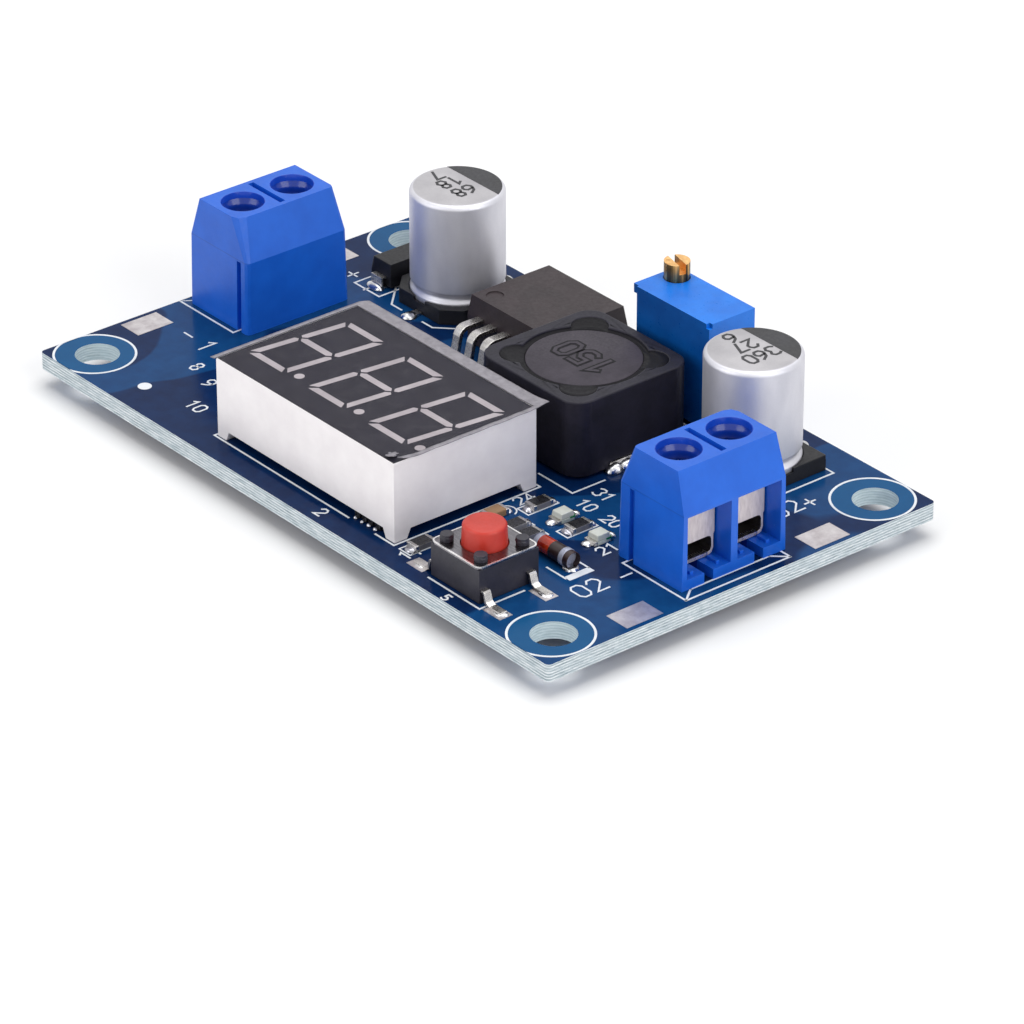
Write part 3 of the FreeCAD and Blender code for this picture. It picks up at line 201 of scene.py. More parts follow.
def circle(x, y, radius, steps):
    return arc_points(x, y, radius, 0, 360, steps)[:-1]


def ribbon(bm, points, width, z0, z1, closed=False):
    half = width / 2
    count = len(points)
    left = []
    right = []
    for index, (x, y) in enumerate(points):
        before = points[index - 1] if index or closed else None
        after = points[(index + 1) % count] if index < count - 1 or closed else None
        directions = []
        if before:
            directions.append(Vector((x - before[0], y - before[1])).normalized())
        if after:
            directions.append(Vector((after[0] - x, after[1] - y)).normalized())
        mean = sum(directions, Vector((0, 0))).normalized()
        side = Vector((-mean.y, mean.x))
        normal = Vector((-directions[0].y, directions[0].x))
        reach = half / max(0.45, side.dot(normal))
        shift = Vector((0, 0))
        if not (before and after):
            shift = mean * half * (1 if before else -1)
        left.append((x + side.x * reach + shift.x, y + side.y * reach + shift.y))
        right.append((x - side.x * reach + shift.x, y - side.y * reach + shift.y))
    for index in range(count if closed else count - 1):
        nxt = (index + 1) % count
        slab(bm, [right[index], right[nxt], left[nxt], left[index]], z0, z1)


# Node materials
class Nodes:
    def __init__(self, name):
        self.material = bpy.data.materials.new(name)
        self.material.use_nodes = True
        self.tree = self.material.node_tree
        self.shader = self.tree.nodes["Principled BSDF"]
        self.coordinates = self.tree.nodes.new("ShaderNodeTexCoord")

    def add(self, kind, inputs=(), **settings):
        node = self.tree.nodes.new(kind)
        for key, value in settings.items():
            setattr(node, key, value)
        for key, value in dict(inputs).items():
            self.feed(node.inputs[key], value)
        return node

    def feed(self, socket, value):
        if isinstance(value, bpy.types.NodeSocket):
            self.tree.links.new(value, socket)
        else:
            socket.default_value = value

    def noise(self, scale, detail=4, rough=0.6, stretch=(1, 1, 1)):
        place = self.coordinates.outputs["Object"]
        mapping = self.add("ShaderNodeMapping", {"Vector": place, "Scale": stretch})
        return self.add("ShaderNodeTexNoise", {
            "Vector": mapping.outputs["Vector"], "Scale": scale / MM, "Detail": detail, "Roughness": rough,
        }).outputs["Fac"]

    def math(self, operation, first, second=0.0):
        return self.add("ShaderNodeMath", {0: first, 1: second}, operation=operation).outputs[0]

    def length(self, across, along):
        squares = [self.math("MULTIPLY", side, side) for side in (across, along)]
        return self.math("SQRT", self.math("ADD", *squares))

    def away(self, value, place):
        return self.math("ABSOLUTE", self.math("SUBTRACT", value, place * MM))

    def ramp(self, value, stops):
        node = self.add("ShaderNodeValToRGB", {"Fac": value})
        elements = node.color_ramp.elements
        while len(elements) < len(stops):
            elements.new(0.5)
        for element, (place, colour) in zip(elements, stops):
            element.position = place
            element.color = (*colour, 1)
        return node.outputs["Color"]

    def shade(self, value, dark, light, start=0.3, end=0.7):
        return self.ramp(value, [(start, srgb(dark)), (end, srgb(light))])

    def colour(self, value):
        return value if isinstance(value, bpy.types.NodeSocket) else (*value, 1)

    def mix(self, share, first, second):
        node = self.add("ShaderNodeMix", data_type="RGBA")
        self.feed(node.inputs["Factor"], share)
        self.feed(node.inputs["A"], self.colour(first))
        self.feed(node.inputs["B"], self.colour(second))
        return node.outputs["Result"]

    def range(self, value, low_in, high_in, low_out=0, high_out=1):
        return self.add("ShaderNodeMapRange", {
            "Value": value, "From Min": low_in, "From Max": high_in, "To Min": low_out, "To Max": high_out,
        }).outputs["Result"]

    def spread(self, value, low_out=0, high_out=1):
        return self.range(value, 0.3, 0.7, low_out, high_out)

    def xyz(self):
        return self.add("ShaderNodeSeparateXYZ", {"Vector": self.coordinates.outputs["Object"]}).outputs

    def normal(self):
        geometry = self.add("ShaderNodeNewGeometry")
        return self.add("ShaderNodeSeparateXYZ", {"Vector": geometry.outputs["Normal"]}).outputs

    def bump(self, height, distance, strength=0.5):
        inputs = {"Height": height, "Distance": distance * MM, "Strength": strength}
        node = self.add("ShaderNodeBump", inputs)
        self.feed(self.shader.inputs["Normal"], node.outputs["Normal"])

    def set(self, **values):
        for key, value in values.items():
            name = key.replace("_", " ").title().replace("Ior", "IOR")
            self.feed(self.shader.inputs[name], value)


def srgb(text):
    channels = [int(text[i:i + 2], 16) / 255 for i in (0, 2, 4)]
    return tuple(c / 12.92 if c <= 0.04045 else ((c + 0.055) / 1.055) ** 2.4 for c in channels)


def speckled(name, dark, light, rough, metallic=0.0, grain=1.2, bump=0.01, rough_spread=0.08,
             stretch=(1, 1, 1)):
    nodes = Nodes(name)
    broad = nodes.noise(grain, 5, 0.6, stretch)
    fine = nodes.noise(grain * 9, 3, 0.6, stretch)
    nodes.set(base_color=nodes.shade(broad, dark, light), metallic=metallic)
    nodes.set(roughness=nodes.spread(fine, rough - rough_spread, rough + rough_spread))
    nodes.bump(fine, bump)
    return nodes


def moulded(name, dark, light, rough=0.38, bump=0.008, shine=0.5):
    nodes = speckled(name, dark, light, rough, grain=0.35, bump=bump)
    nodes.set(specular_ior_level=shine)
    return nodes.material


def metal(name, dark, light, rough=0.3, stretch=(1, 1, 1), bump=0.006, grain=1.0):
    return speckled(name, dark, light, rough, 1.0, grain, bump, 0.1, stretch).material


def board_material():
    nodes = Nodes("solder_mask_board")
    x, y, z = nodes.xyz()[0:3]
    across = nodes.math("SUBTRACT", nodes.away(x, RING_SHIFT[0]), HOLE_X * MM)
    along = nodes.math("SUBTRACT", nodes.away(y, RING_SHIFT[1]), HOLE_Y * MM)
    distance = nodes.length(across, along)
    around = nodes.range(distance, (RING_R - 0.12) * MM, (RING_R + 0.02) * MM, 1.0, 0.0)
    pours = nodes.noise(0.085, 1.5, 0.3)
    cloudy = nodes.noise(0.6)
    navy = nodes.mix(nodes.range(cloudy, 0.35, 0.65), srgb("06214A"), srgb("092955"))
    light = nodes.mix(nodes.range(cloudy, 0.35, 0.65), srgb("0F4376"), srgb("134B80"))
    toward_ends = nodes.range(nodes.math("ABSOLUTE", x), 18 * MM, 23 * MM, -0.08, 0.07)
    poured = nodes.math("ADD", pours, toward_ends)
    mask = nodes.mix(nodes.range(poured, 0.53, 0.545, 0, 0.75), navy, light)
    mask = nodes.mix(around, mask, nodes.mix(cloudy, srgb("0F4C7C"), srgb("145889")))
    strands = nodes.noise(1.0, 6, 0.8, (0.8, 0.8, 6.0))
    layers = nodes.math("SINE", nodes.math("MULTIPLY", z, 2 * math.pi / (0.24 * MM)))
    weave = nodes.math("ADD", nodes.math("MULTIPLY", layers, 0.12), strands)
    laminate = nodes.ramp(weave, [(0.28, srgb("84949C")), (0.5, srgb("BCC8CE")), (0.72, srgb("F0F3F5"))])
    bored = nodes.range(distance, 2.2 * MM, 2.4 * MM, 1, 0)
    wall = nodes.mix(nodes.math("MULTIPLY", bored, 0.55), laminate, srgb("D2E6EC"))
    facing = nodes.math("ABSOLUTE", nodes.normal()[2])
    flat = nodes.range(facing, 0.4, 0.6)
    nodes.set(base_color=nodes.mix(flat, wall, mask))
    nodes.set(roughness=nodes.range(flat, 0, 1, 0.5, 0.18))
    nodes.set(specular_ior_level=0.08)
    relief = nodes.math("ADD", nodes.math("MULTIPLY", weave, nodes.math("SUBTRACT", 1.0, flat)),
                        nodes.math("MULTIPLY", nodes.noise(2.2, 2), 0.15))
    nodes.bump(relief, 0.06, 0.6)
    return nodes.material


def can_material():
    nodes = Nodes("can_satin_aluminium")
    grain = nodes.noise(7.0, 3, 0.7)
    broad = nodes.noise(0.35, 3, 0.5, (1, 1, 0.4))
    wall = nodes.shade(broad, "C4C4CC", "DAD9DF")
    lid = nodes.shade(broad, "A6A4A8", "BAB8BB")
    upward = nodes.range(nodes.normal()[2], 0.93, 0.99)
    nodes.set(base_color=nodes.mix(upward, wall, lid))
    nodes.set(metallic=0.8, roughness=nodes.spread(grain, 0.42, 0.58))
    nodes.bump(grain, 0.012, 0.35)
    return nodes.material


def film_material():
    nodes = Nodes("protective_film")
    crinkle = nodes.noise(0.9)
    nodes.set(base_color=nodes.shade(crinkle, "8E8C94", "BDBBC2", 0.35))
    nodes.set(roughness=0.15, alpha=nodes.range(crinkle, 0.5, 0.8, 0.01, 0.03), specular_ior_level=0.06)
    nodes.bump(crinkle, 0.05, 0.4)
    return nodes.material


def frosted_material():
    nodes = Nodes("film_frosted_edge")
    crinkle = nodes.noise(1.6, 5, 0.65)
    nodes.set(base_color=nodes.shade(crinkle, "88848C", "9E9AA2", 0.35, 0.68))
    nodes.set(roughness=0.35, alpha=nodes.range(crinkle, 0.35, 0.65, 0.8, 0.9))
    nodes.bump(crinkle, 0.06, 0.5)
    return nodes.material


def glass_material(name, dark, light, alpha, rough=0.08):
    nodes = Nodes(name)
    cloud = nodes.noise(0.8, 3, 0.5)
    nodes.set(base_color=nodes.shade(cloud, dark, light, 0.35))
    nodes.set(roughness=rough, alpha=alpha, specular_ior_level=0.6)
    return nodes.material


def slotted_brass():
    nodes = Nodes("slotted_brass")
    x, y = nodes.xyz()[0:2]
    axis = middle("trimmer_screw")
    across = nodes.math("SUBTRACT", x, axis.x * MM)
    along = nodes.math("SUBTRACT", y, axis.y * MM)
    turned = nodes.range(nodes.length(across, along), 0.98 * MM, 1.03 * MM)
    standing = nodes.spread(nodes.normal()[2], 1, 0)
    grain = nodes.noise(2.0)
    # Painted shade and painted highlights: the screw's outer wall gets a dark brown copy of the brass with
    # bright vertical streaks, while the top and the slot keep the bright brass.
    painted_highlight_streaks = nodes.noise(1.3, 2, 0.5, (1, 1, 0.05))
    bright = nodes.shade(grain, "D9A25E", "FFD08E")
    painted_shade_and_streaks = nodes.ramp(painted_highlight_streaks, [(0.42, srgb("2E2A22")), (0.52, srgb("7C6340")), (0.6, srgb("E0B070"))])
    nodes.set(base_color=nodes.mix(nodes.math("MULTIPLY", turned, standing), bright, painted_shade_and_streaks))
    nodes.set(metallic=0.9, roughness=nodes.spread(grain, 0.24, 0.4))
    nodes.bump(grain, 0.01)
    return nodes.material


def trimmer_material():
    nodes = Nodes("trimmer_blue_moulding")
    cloud = nodes.noise(0.35)
    fine = nodes.noise(3.2, 3)
    # Painted light and shade: the same blue moulding gets a darker copy on the long sides, a lighter copy
    # on the ends and a third copy on the top, chosen by the way each face is turned.
    along = nodes.shade(cloud, "044A96", "095AAC")
    end = nodes.shade(cloud, "1272DC", "187EE8")
    side = nodes.mix(nodes.spread(nodes.normal()[0]), along, end)
    crown = nodes.shade(cloud, "066CD4", "0E80EC")
    upward = nodes.spread(nodes.normal()[2])
    nodes.set(base_color=nodes.mix(upward, side, crown))
    nodes.set(roughness=nodes.spread(fine, 0.26, 0.42), specular_ior_level=0.35)
    nodes.bump(fine, 0.006)
    return nodes.material


def terminal_material(end):
    nodes = Nodes(end + "_terminal_moulding")
    centre = middle(end + "_terminal_housing")
    pole = middle(end + "_plus_screw")
    x, y, z = nodes.xyz()[0:3]
    across = nodes.math("SUBTRACT", x, pole.x * MM)
    along = nodes.math("SUBTRACT", nodes.away(y, centre.y), abs(pole.y - centre.y) * MM)
    # Painted shade: the walls inside the screw holes get a darker blue than the rest of the moulding.
    bore_edge = (SCREW_HOLE_R * MM, (SCREW_HOLE_R + 0.06) * MM)
    bored = nodes.range(nodes.length(across, along), *bore_edge, 1, 0)
    cloud = nodes.noise(0.35)
    fine = nodes.noise(3.2, 3)
    scuffs = nodes.range(nodes.noise(2.6, 6, 0.75, (1, 1, 0.5)), 0.66, 0.74, 0, 0.4)
    blue = nodes.shade(cloud, "125CCA", "1966D8")
    blue = nodes.mix(bored, blue, srgb("1848C0"))
    # Painted shade: a dark line on the side faces at the shoulder height, where the wall steps.
    painted_step_shade = nodes.range(nodes.away(z, TOP + SHOULDER_LINE_RISE), 0.02 * MM, 0.06 * MM, 0.35, 0)
    beside = nodes.range(nodes.math("ABSOLUTE", nodes.normal()[1]), 0.5, 0.8)
    blue = nodes.mix(nodes.math("MULTIPLY", painted_step_shade, beside), blue, srgb("0A2E7C"))
    nodes.set(base_color=nodes.mix(scuffs, blue, srgb("5E8ADC")))
    plain = nodes.spread(fine, 0.28, 0.44)
    nodes.set(roughness=nodes.math("SUBTRACT", plain, nodes.math("MULTIPLY", bored, 0.18)))
    nodes.set(specular_ior_level=0.36)
    nodes.bump(fine, 0.006)
    return nodes.material


def ferrite_material(name, dark, light, rough):
    nodes = Nodes(name)
    broad = nodes.noise(0.5, 5, 0.65)
    pits = nodes.noise(4.5, 3, 0.7)
    nodes.set(base_color=nodes.shade(broad, dark, light))
    nodes.set(roughness=nodes.spread(pits, rough - 0.08, rough + 0.1), specular_ior_level=0.2)
    nodes.bump(pits, 0.02, 0.4)
    return nodes.material


def cage_material():
    nodes = Nodes("cage_zinc_plate")
    cloud = nodes.noise(0.9, 5, 0.6, (1, 4, 1))
    fine = nodes.noise(7.0, 3)
    # Painted light and shade: faces turned along x get a bright copy of the plate colour and all other
    # faces a dark copy.
    facing = nodes.math("ABSOLUTE", nodes.normal()[0])
    bright = nodes.shade(cloud, "CBBFBC", "E6DCD8")
    dark = nodes.shade(cloud, "24211F", "3C3735")
    nodes.set(base_color=nodes.mix(nodes.range(facing, 0.25, 0.6), dark, bright))
    nodes.set(metallic=0.35, roughness=nodes.spread(fine, 0.36, 0.5))
    nodes.bump(fine, 0.008)
    return nodes.material


BOARD = board_material()
SILK = moulded("silk_white", "D9DEE4", "F4F6F8", 0.6)
PAD_TIN = metal("bare_tinned_pad", "ABA4A7", "CECACB", 0.42)
SOLDER = metal("solder_tin", "A9A9AC", "E2E2E4", 0.18, bump=0.03, grain=0.9)
DARK_SOLDER = metal("solder_fillet_dark", "84848C", "CFCFD6", 0.16, bump=0.03, grain=0.9)
LEAD_TIN = metal("lead_tin", "ABA8A6", "D9D6D2", 0.3, bump=0.015)
NICKEL = metal("cage_nickel", "A39A98", "CFC8C6", 0.36, (1, 6, 1))
CAGE = cage_material()
# Painted shade: a darker blue for the screw-hole steps inside the terminal housings.
HOLE_SHADE_BLUE = moulded("terminal_hole_painted_shade", "0E3598", "133EAC", 0.16, 0.004, 0.5)
ZINC = metal("screw_zinc", "9EA0A4", "D5D7DA", 0.25)
CAN = can_material()
INK = moulded("printed_black", "17171B", "26262C", 0.45)
BLACK = moulded("black_moulding", "101014", "1A1A1F", 0.5, 0.012, 0.35)
BUTTON_BLACK = moulded("button_base_moulding", "201F28", "2C2A36", 0.45, 0.012)
REGULATOR = moulded("regulator_moulding", "2B2427", "382F32", 0.55, 0.02, 0.35)
SHIELD = ferrite_material("ferrite_shield", "1B1A23", "282633", 0.42)
DRUM = ferrite_material("ferrite_drum", "343038", "433E47", 0.52)
# Dark adhesive, also used as painted shade round the drum's pressed number.
GLUE_AND_GROOVE_SHADE = moulded("cured_adhesive_and_groove_shade", "0E0D11", "17161B", 0.5, 0.03, 0.12)
COPPER = metal("winding_copper", "8C4A22", "C4713C", 0.3)
TRIMMER = trimmer_material()
BRASS = slotted_brass()
HOUSING = moulded("display_white_moulding", "EDE8EA", "F8F4F5", 0.42, 0.008)
FACE = moulded("display_face_grey", "211F29", "272530", 0.55, 0.006, 0.15)
BARS = moulded("unlit_segment", "9E959B", "B8AFB4", 0.4, 0.006)
RED = moulded("button_red_moulding", "B62A1B", "C8392C", 0.42, 0.02)
STEEL = speckled("cover_steel", "6A686D", "8C8A8F", 0.15, 1.0, 1.0, 0.003, 0.05, (1, 8, 1)).material
# A bright steel, also used for the strip along the button cover's edge as a painted highlight.
BRIGHT_STEEL = metal("bright_steel_and_rim_highlight", "D6D4D4", "F4F2F2", 0.3)
ORANGE = glass_material("diode_orange_glass", "9A1C08", "D64420", 0.8)
DIODE_CORE = moulded("diode_band_and_core", "1A0F10", "32191A", 0.4)
DIODE_TIN = speckled("diode_cap_tin", "80849A", "B4B8C8", 0.32, 0.2, bump=0.015).material
LED_RESIN = glass_material("pale_led_resin", "D6DAD0", "F0F2EA", 0.86, 0.2)
LED_BOARD = moulded("led_base", "C6CFC4", "DCE2D6", 0.5)
GREEN = moulded("cathode_green", "0E6B3A", "158A4C", 0.4)
CHIP = moulded("chip_black_glaze", "0E0E12", "1A1A20", 0.28, 0.02)
TAN = moulded("chip_tan_ceramic", "8C6A4A", "A98660", 0.45, 0.02)
CERAMIC = moulded("chip_grey_ceramic", "6E6C70", "8C8A8E", 0.5)
GREEN_BOARD = moulded("back_board_laminate", "1B5A34", "247042", 0.45)
RESIN = moulded("potting_resin", "22222A", "30303A", 0.4)


# CAD nodes that keep their shape get a material and rounded edges
def dress(node, material, bevel=0.06, segments=2):
    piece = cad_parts[node]
    for material_slot in piece.material_slots:
        material_slot.material = material
    if bevel:
        round_edges(piece, bevel, segments, weld=True, angle=16)


for end in ENDS:
    dress(end + "_terminal_housing", terminal_material(end), 0.11)
    dress(end + "_capacitor_base", BLACK, 0.08)
    dress(end + "_capacitor_leads", LEAD_TIN, 0.05)
for end, sign in POLES:
    pole = end + "_" + sign
    dress(pole + "_cage", CAGE, 0.07)
    dress(pole + "_screw", ZINC, 0.05)
    dress(pole + "_contact", NICKEL, 0.05)
for dressed, coat, edge in (
    ("circuit_board", BOARD, 0), ("inductor_winding", COPPER, 0), ("inductor_terminals", LEAD_TIN, 0.05),
    ("regulator_body", REGULATOR, 0.08), ("regulator_tab", LEAD_TIN, 0.06),
    ("regulator_leads", LEAD_TIN, 0.08), ("input_diode_body", BLACK, 0.07),
    ("input_diode_leads", LEAD_TIN, 0.04), ("trimmer_housing", TRIMMER, 0.08),
    ("trimmer_screw", BRASS, 0.05), ("trimmer_base", RESIN, 0), ("trimmer_pins", LEAD_TIN, 0.04),
    ("display_housing", HOUSING, 0.07), ("display_back_board", GREEN_BOARD, 0),
    ("display_pins", LEAD_TIN, 0.04), ("button_cover", STEEL, 0.04), ("button_legs", LEAD_TIN, 0.05),
    ("button_dome", ZINC, 0), ("display_controller", BLACK, 0.04), ("logic_regulator", BLACK, 0.06),
    ("resistor_array", CHIP, 0.03),
):
    dress(dressed, coat, edge)
dress("inductor_shield", SHIELD, 0.28, 4)
dress("button_base", BUTTON_BLACK, 0.15, 3)


# Cans: a drawn shell with a rolled shoulder and a pressed neck, with a printed half moon and plain numbers
CAN_SHOULDER = 0.45
CAN_FOOT = 0.32
CAN_NECK_RISE = 1.15
CAN_NECK_DEPTH = 0.28
CAN_NECK_HALF = 0.42
MOON_CHORD = 1.6
PRINT_INSET = 0.3
PRINT_RISE = 0.012
CAN_NUMBERS = {"output": ("360", "27", "6"), "input": ("68", "18", "7")}
CAN_ROWS = (1.04, -0.9, -2.6)
BASE_POST_RISE = 0.4
BASE_POST_INNER_R = 4.06
BASE_POST_CUT = 1.5


def can_piece(end):
    node = end + "_capacitor_can"
    centre = middle(node)
    lo, hi = span(node)
    z0, z1 = lo.z, hi.z
    radius = (hi.x - lo.x) / 2
    neck = z0 + CAN_NECK_RISE
    profile = [(0, z0), (radius - 0.5, z0), (radius - 0.12, z0 + 0.1), (radius, z0 + CAN_FOOT),
               (radius, neck - 0.5)]
    for step in range(9):
        depth = CAN_NECK_DEPTH * math.sin(math.pi * step / 8)
        profile.append((radius - depth, neck + CAN_NECK_HALF * (step / 4 - 1)))
    profile.append((radius, neck + 0.55))
    profile += arc_points(radius - CAN_SHOULDER, z1 - CAN_SHOULDER, CAN_SHOULDER, 0, 90, 8)
    profile += [(radius - CAN_SHOULDER - 0.4, z1), (0, z1)]
    bm = bmesh.new()
    lathe(bm, [(r, z - centre.z) for r, z in profile], centre, 96)
    piece = finish_mesh(end + "_can_shell", bm, CAN, angle=50)
    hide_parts(node)
    print_radius = radius - PRINT_INSET
    reach = math.degrees(math.acos(MOON_CHORD / print_radius))
    moon = arc_points(centre.x, centre.y, print_radius, 90 - reach, 90 + reach, 28)
    bm = bmesh.new()
    slab(bm, moon, z1 - 0.3, z1 + PRINT_RISE)
    for text, row in zip(CAN_NUMBERS[end], CAN_ROWS):
        place = (centre.x + row, centre.y - 0.15)
        digits(bm, text, place, 1.35, -90, 0.24, z1 - SINK, z1 + PRINT_RISE)
    finish_mesh(end + "_can_print", bm, INK, angle=30)


# Plain stroke numerals: the points of each line, in hundredths of the height
STROKES = {
    "0": ["15,0 45,0 60,20 60,80 45,100 15,100 0,80 0,20 15,0"],
    "1": ["10,80 35,100 35,0"],
    "2": ["0,80 15,100 45,100 60,80 60,60 0,0 60,0"],
    "3": ["0,90 15,100 45,100 60,80 45,53 60,25 45,0 15,0 0,10"],
    "4": ["45,0 45,100 0,30 60,30"],
    "5": ["55,100 5,100 5,58 40,60 60,40 60,20 42,0 12,0 0,10"],
    "6": ["50,100 15,75 0,40 0,20 15,0 45,0 60,20 60,40 45,55 10,50"],
    "7": ["0,100 60,100 20,0"],
    "8": ["15,53 0,28 15,0 45,0 60,28 45,53 15,53 3,78 15,100 45,100 57,78 45,53"],
    "9": ["10,0 45,25 60,60 60,80 45,100 15,100 0,80 0,62 15,45 55,50"],
    "+": ["5,50 65,50", "35,20 35,80"],
    "-": ["5,50 65,50"],
}


def digits(bm, text, centre, height, turn, width, z0, z1):
    pitch = 0.85 * height
    start = -(len(text) * pitch - 0.25 * height) / 2
    rotate = Matrix.Rotation(math.radians(turn), 2)
    for index, letter in enumerate(text):
        for line in STROKES[letter]:
            placed = []
            for point in line.split():
                u, v = [int(part) / 100 for part in point.split(",")]
                spot = rotate @ Vector((start + index * pitch + u * height, (v - 0.5) * height))
                placed.append((centre[0] + spot.x, centre[1] + spot.y))
            joined = placed[0] == placed[-1]
            ribbon(bm, placed[:-1] if joined else placed, width, z0, z1, joined)


# Raised posts at the corners of each can's base, the near ones with a cut corner
def base_posts(end):
    lo, hi = span(end + "_capacitor_base")
    centre = middle(end + "_capacitor_can")
    cut = BASE_POST_CUT
    bm = bmesh.new()
    for side_x, side_y, start in ((1, 1, 10), (-1, 1, 100), (-1, -1, 190), (1, -1, 280)):
        edge_x = hi.x if side_x > 0 else lo.x
        edge_y = hi.y if side_y > 0 else lo.y
        inner = arc_points(centre.x, centre.y, BASE_POST_INNER_R, start, start + 70, 10)
        first, last = inner[0], inner[-1]
        if abs(edge_x - first[0]) > abs(edge_x - last[0]):
            inner = inner[::-1]
            first, last = last, first
        outer = [(edge_x, first[1]), (edge_x, edge_y), (last[0], edge_y)]
        if side_y < 0:
            outer[1:2] = [(edge_x, edge_y + cut), (edge_x - side_x * cut, edge_y)]
        slab(bm, outer + inner[::-1], hi.z - 0.1, hi.z + BASE_POST_RISE)
    finish_mesh(end + "_base_posts", bm, BLACK, bevel=0.1, angle=50)


# White marks on the board: line widths, then each text with its place, height and turn
SILK_LINE = 0.17
FINE_LINE = 0.13
RING_LINE = 0.2
TEXT_LINE = 0.16
BOARD_MARGIN = 0.04
DISPLAY_LINE_GAP = (5.3, 8.7)
MARKS = [
    ("-", (25.9, -6.5), 1.7, 90), ("+", (26.26, 12.0), 1.7, 90), ("-", (-27.2, -8.6), 1.7, 0),
    ("+", (-27.2, 8.6), 1.7, 0), ("02", (25.55, -9.9), 1.8, 90), ("02", (25.9, 9.9), 1.7, 90),
    ("1", (-24.6, -8.6), 1.7, 0), ("1", (-24.4, 8.4), 1.7, 0), ("24", (11.7, -4.85), 1.15, 90),
    ("10", (15.6, -1.75), 1.15, 0), ("31", (15.15, 0.4), 1.15, 0), ("20", (18.8, -1.85), 1.15, 0),
    ("21", (21.85, -4.95), 1.15, 90), ("5", (19.8, -19.2), 0.8, 0), ("14", (12.75, -17.15), 1.1, 90),
    ("2", (3.3, -18.4), 1.1, 0), ("10", (-16.8, -15.5), 1.2, 0), ("8", (-22.2, -11.4), 1.2, 0),
    ("9", (-19.3, -12.3), 1.2, 0),
]


def board_marks():
    bm = bmesh.new()
    z0 = TOP - SINK
    z1 = TOP + SILK_RISE

    def draw(points, width=SILK_LINE, closed=False):
        ribbon(bm, points, width, z0, z1, closed)

    for side_x, side_y in SIDES:
        ring_x = side_x * HOLE_X + RING_SHIFT[0]
        ring_y = side_y * HOLE_Y + RING_SHIFT[1]
        draw(circle(ring_x, ring_y, RING_R, 72), RING_LINE, True)
    for end, facing in (("output", 1), ("input", -1)):
        centre = middle(end + "_terminal_housing")
        near = centre.x + 4.95 * facing
        inner = centre.x + 3.85 * facing
        back = centre.x - 2.5 * facing
        y0, y1 = centre.y - 5.8, centre.y + 4.8
        inner_y0, inner_y1 = centre.y - 4.4, centre.y + 3.6
        draw(corners(back, near, y0, y1), closed=True)
        draw([(inner, inner_y0), (inner, inner_y1)])
        draw([(inner, inner_y0), (near, y0)])
        draw([(inner, inner_y1), (near, y1)])
    centre = middle("inductor_shield")
    for side_x, side_y in SIDES:
        x = centre.x + side_x * 7.1
        y = centre.y + side_y * 7.1
        draw([(x - side_x * 4.1, y), (x, y), (x, y - side_y * 3.3)])
    reach = 4.9
    back_reach = 4.3
    cut = 2.2
    bracket = [(-1.4, -reach), (-reach + cut, -reach), (-reach, -reach + cut), (-reach, back_reach),
               (-1.4, back_reach)]
    for end in ENDS:
        centre = middle(end + "_capacitor_can")
        for side in (-1, 1):
            draw([(centre.x + side * x, centre.y + y) for x, y in bracket])
    lo, hi = span("input_diode_body")
    draw(corners(lo.x - 0.5, hi.x + 0.2, lo.y - 1.4, hi.y + 1.4), closed=True)
    lo, hi = span("display_housing")
    first, second, third, fourth = corners(lo.x - 0.2, hi.x + 0.2, lo.y - 0.2, hi.y + 0.2)
    gap = [(x, first[1]) for x in DISPLAY_LINE_GAP]
    draw([gap[0], first, fourth, third, second, gap[1]])
    lo, hi = span("button_cover")
    draw([(lo.x + 0.25, lo.y - 0.35), (hi.x + 0.5, lo.y - 0.38), (hi.x + 0.5, lo.y + 4.0)])
    draw([(lo.x - 0.65, hi.y - 3.2), (lo.x - 0.65, hi.y + 0.5), (hi.x - 2, hi.y + 0.5)])
    for node in CHIP_RESISTORS:
        lo, hi = span(node)
        draw(corners(lo.x - 0.13, hi.x + 0.02, lo.y - 0.6, hi.y + 0.47), FINE_LINE, True)
    centre = middle("chip_capacitor")
    for side, start in ((-1, 200), (1, 20)):
        draw(arc_points(centre.x, centre.y + side * 1.1, 0.85, start, start + 140, 12), FINE_LINE)
    hi = high("glass_diode_end_caps")
    y = middle("glass_diode_end_caps").y
    brick(bm, hi.x + 0.95, hi.x + 1.65, y - 1.3, y + 1.16, z0, z1)
    draw([(hi.x - 1.03, y - 1.35), (hi.x + 1.2, y - 1.35)])
    draw([(hi.x - 0.45, y + 1.1), (hi.x + 1.0, y + 1.1)])
    lo, hi = span("trimmer_housing")
    draw(corners(lo.x - 0.3, hi.x + 0.3, lo.y - 0.3, hi.y + 0.3), closed=True)
    slab(bm, circle(-22.2, -16.67, 0.58, 24), z0, z1)
    for text, spot, height, turn in MARKS:
        digits(bm, text, spot, height, turn, TEXT_LINE, z0, z1)
    # The rings end where the board does
    end_x = BOARD_HALF_X - BOARD_MARGIN
    end_y = BOARD_HALF_Y - BOARD_MARGIN
    for vert in bm.verts:
        vert.co.x = min(max(vert.co.x, -end_x), end_x)
        vert.co.y = min(max(vert.co.y, -end_y), end_y)
    bmesh.ops.dissolve_degenerate(bm, edges=bm.edges, dist=1e-3)
    finish_mesh("board_white_marks", bm, SILK, smooth=False)


# Bare tinned pads at the board's corners and under the button's legs
CORNER_PADS = ((30.86, -9.8), (30.86, 9.25), (-30.85, -10.05), (-30.7, 9.3))


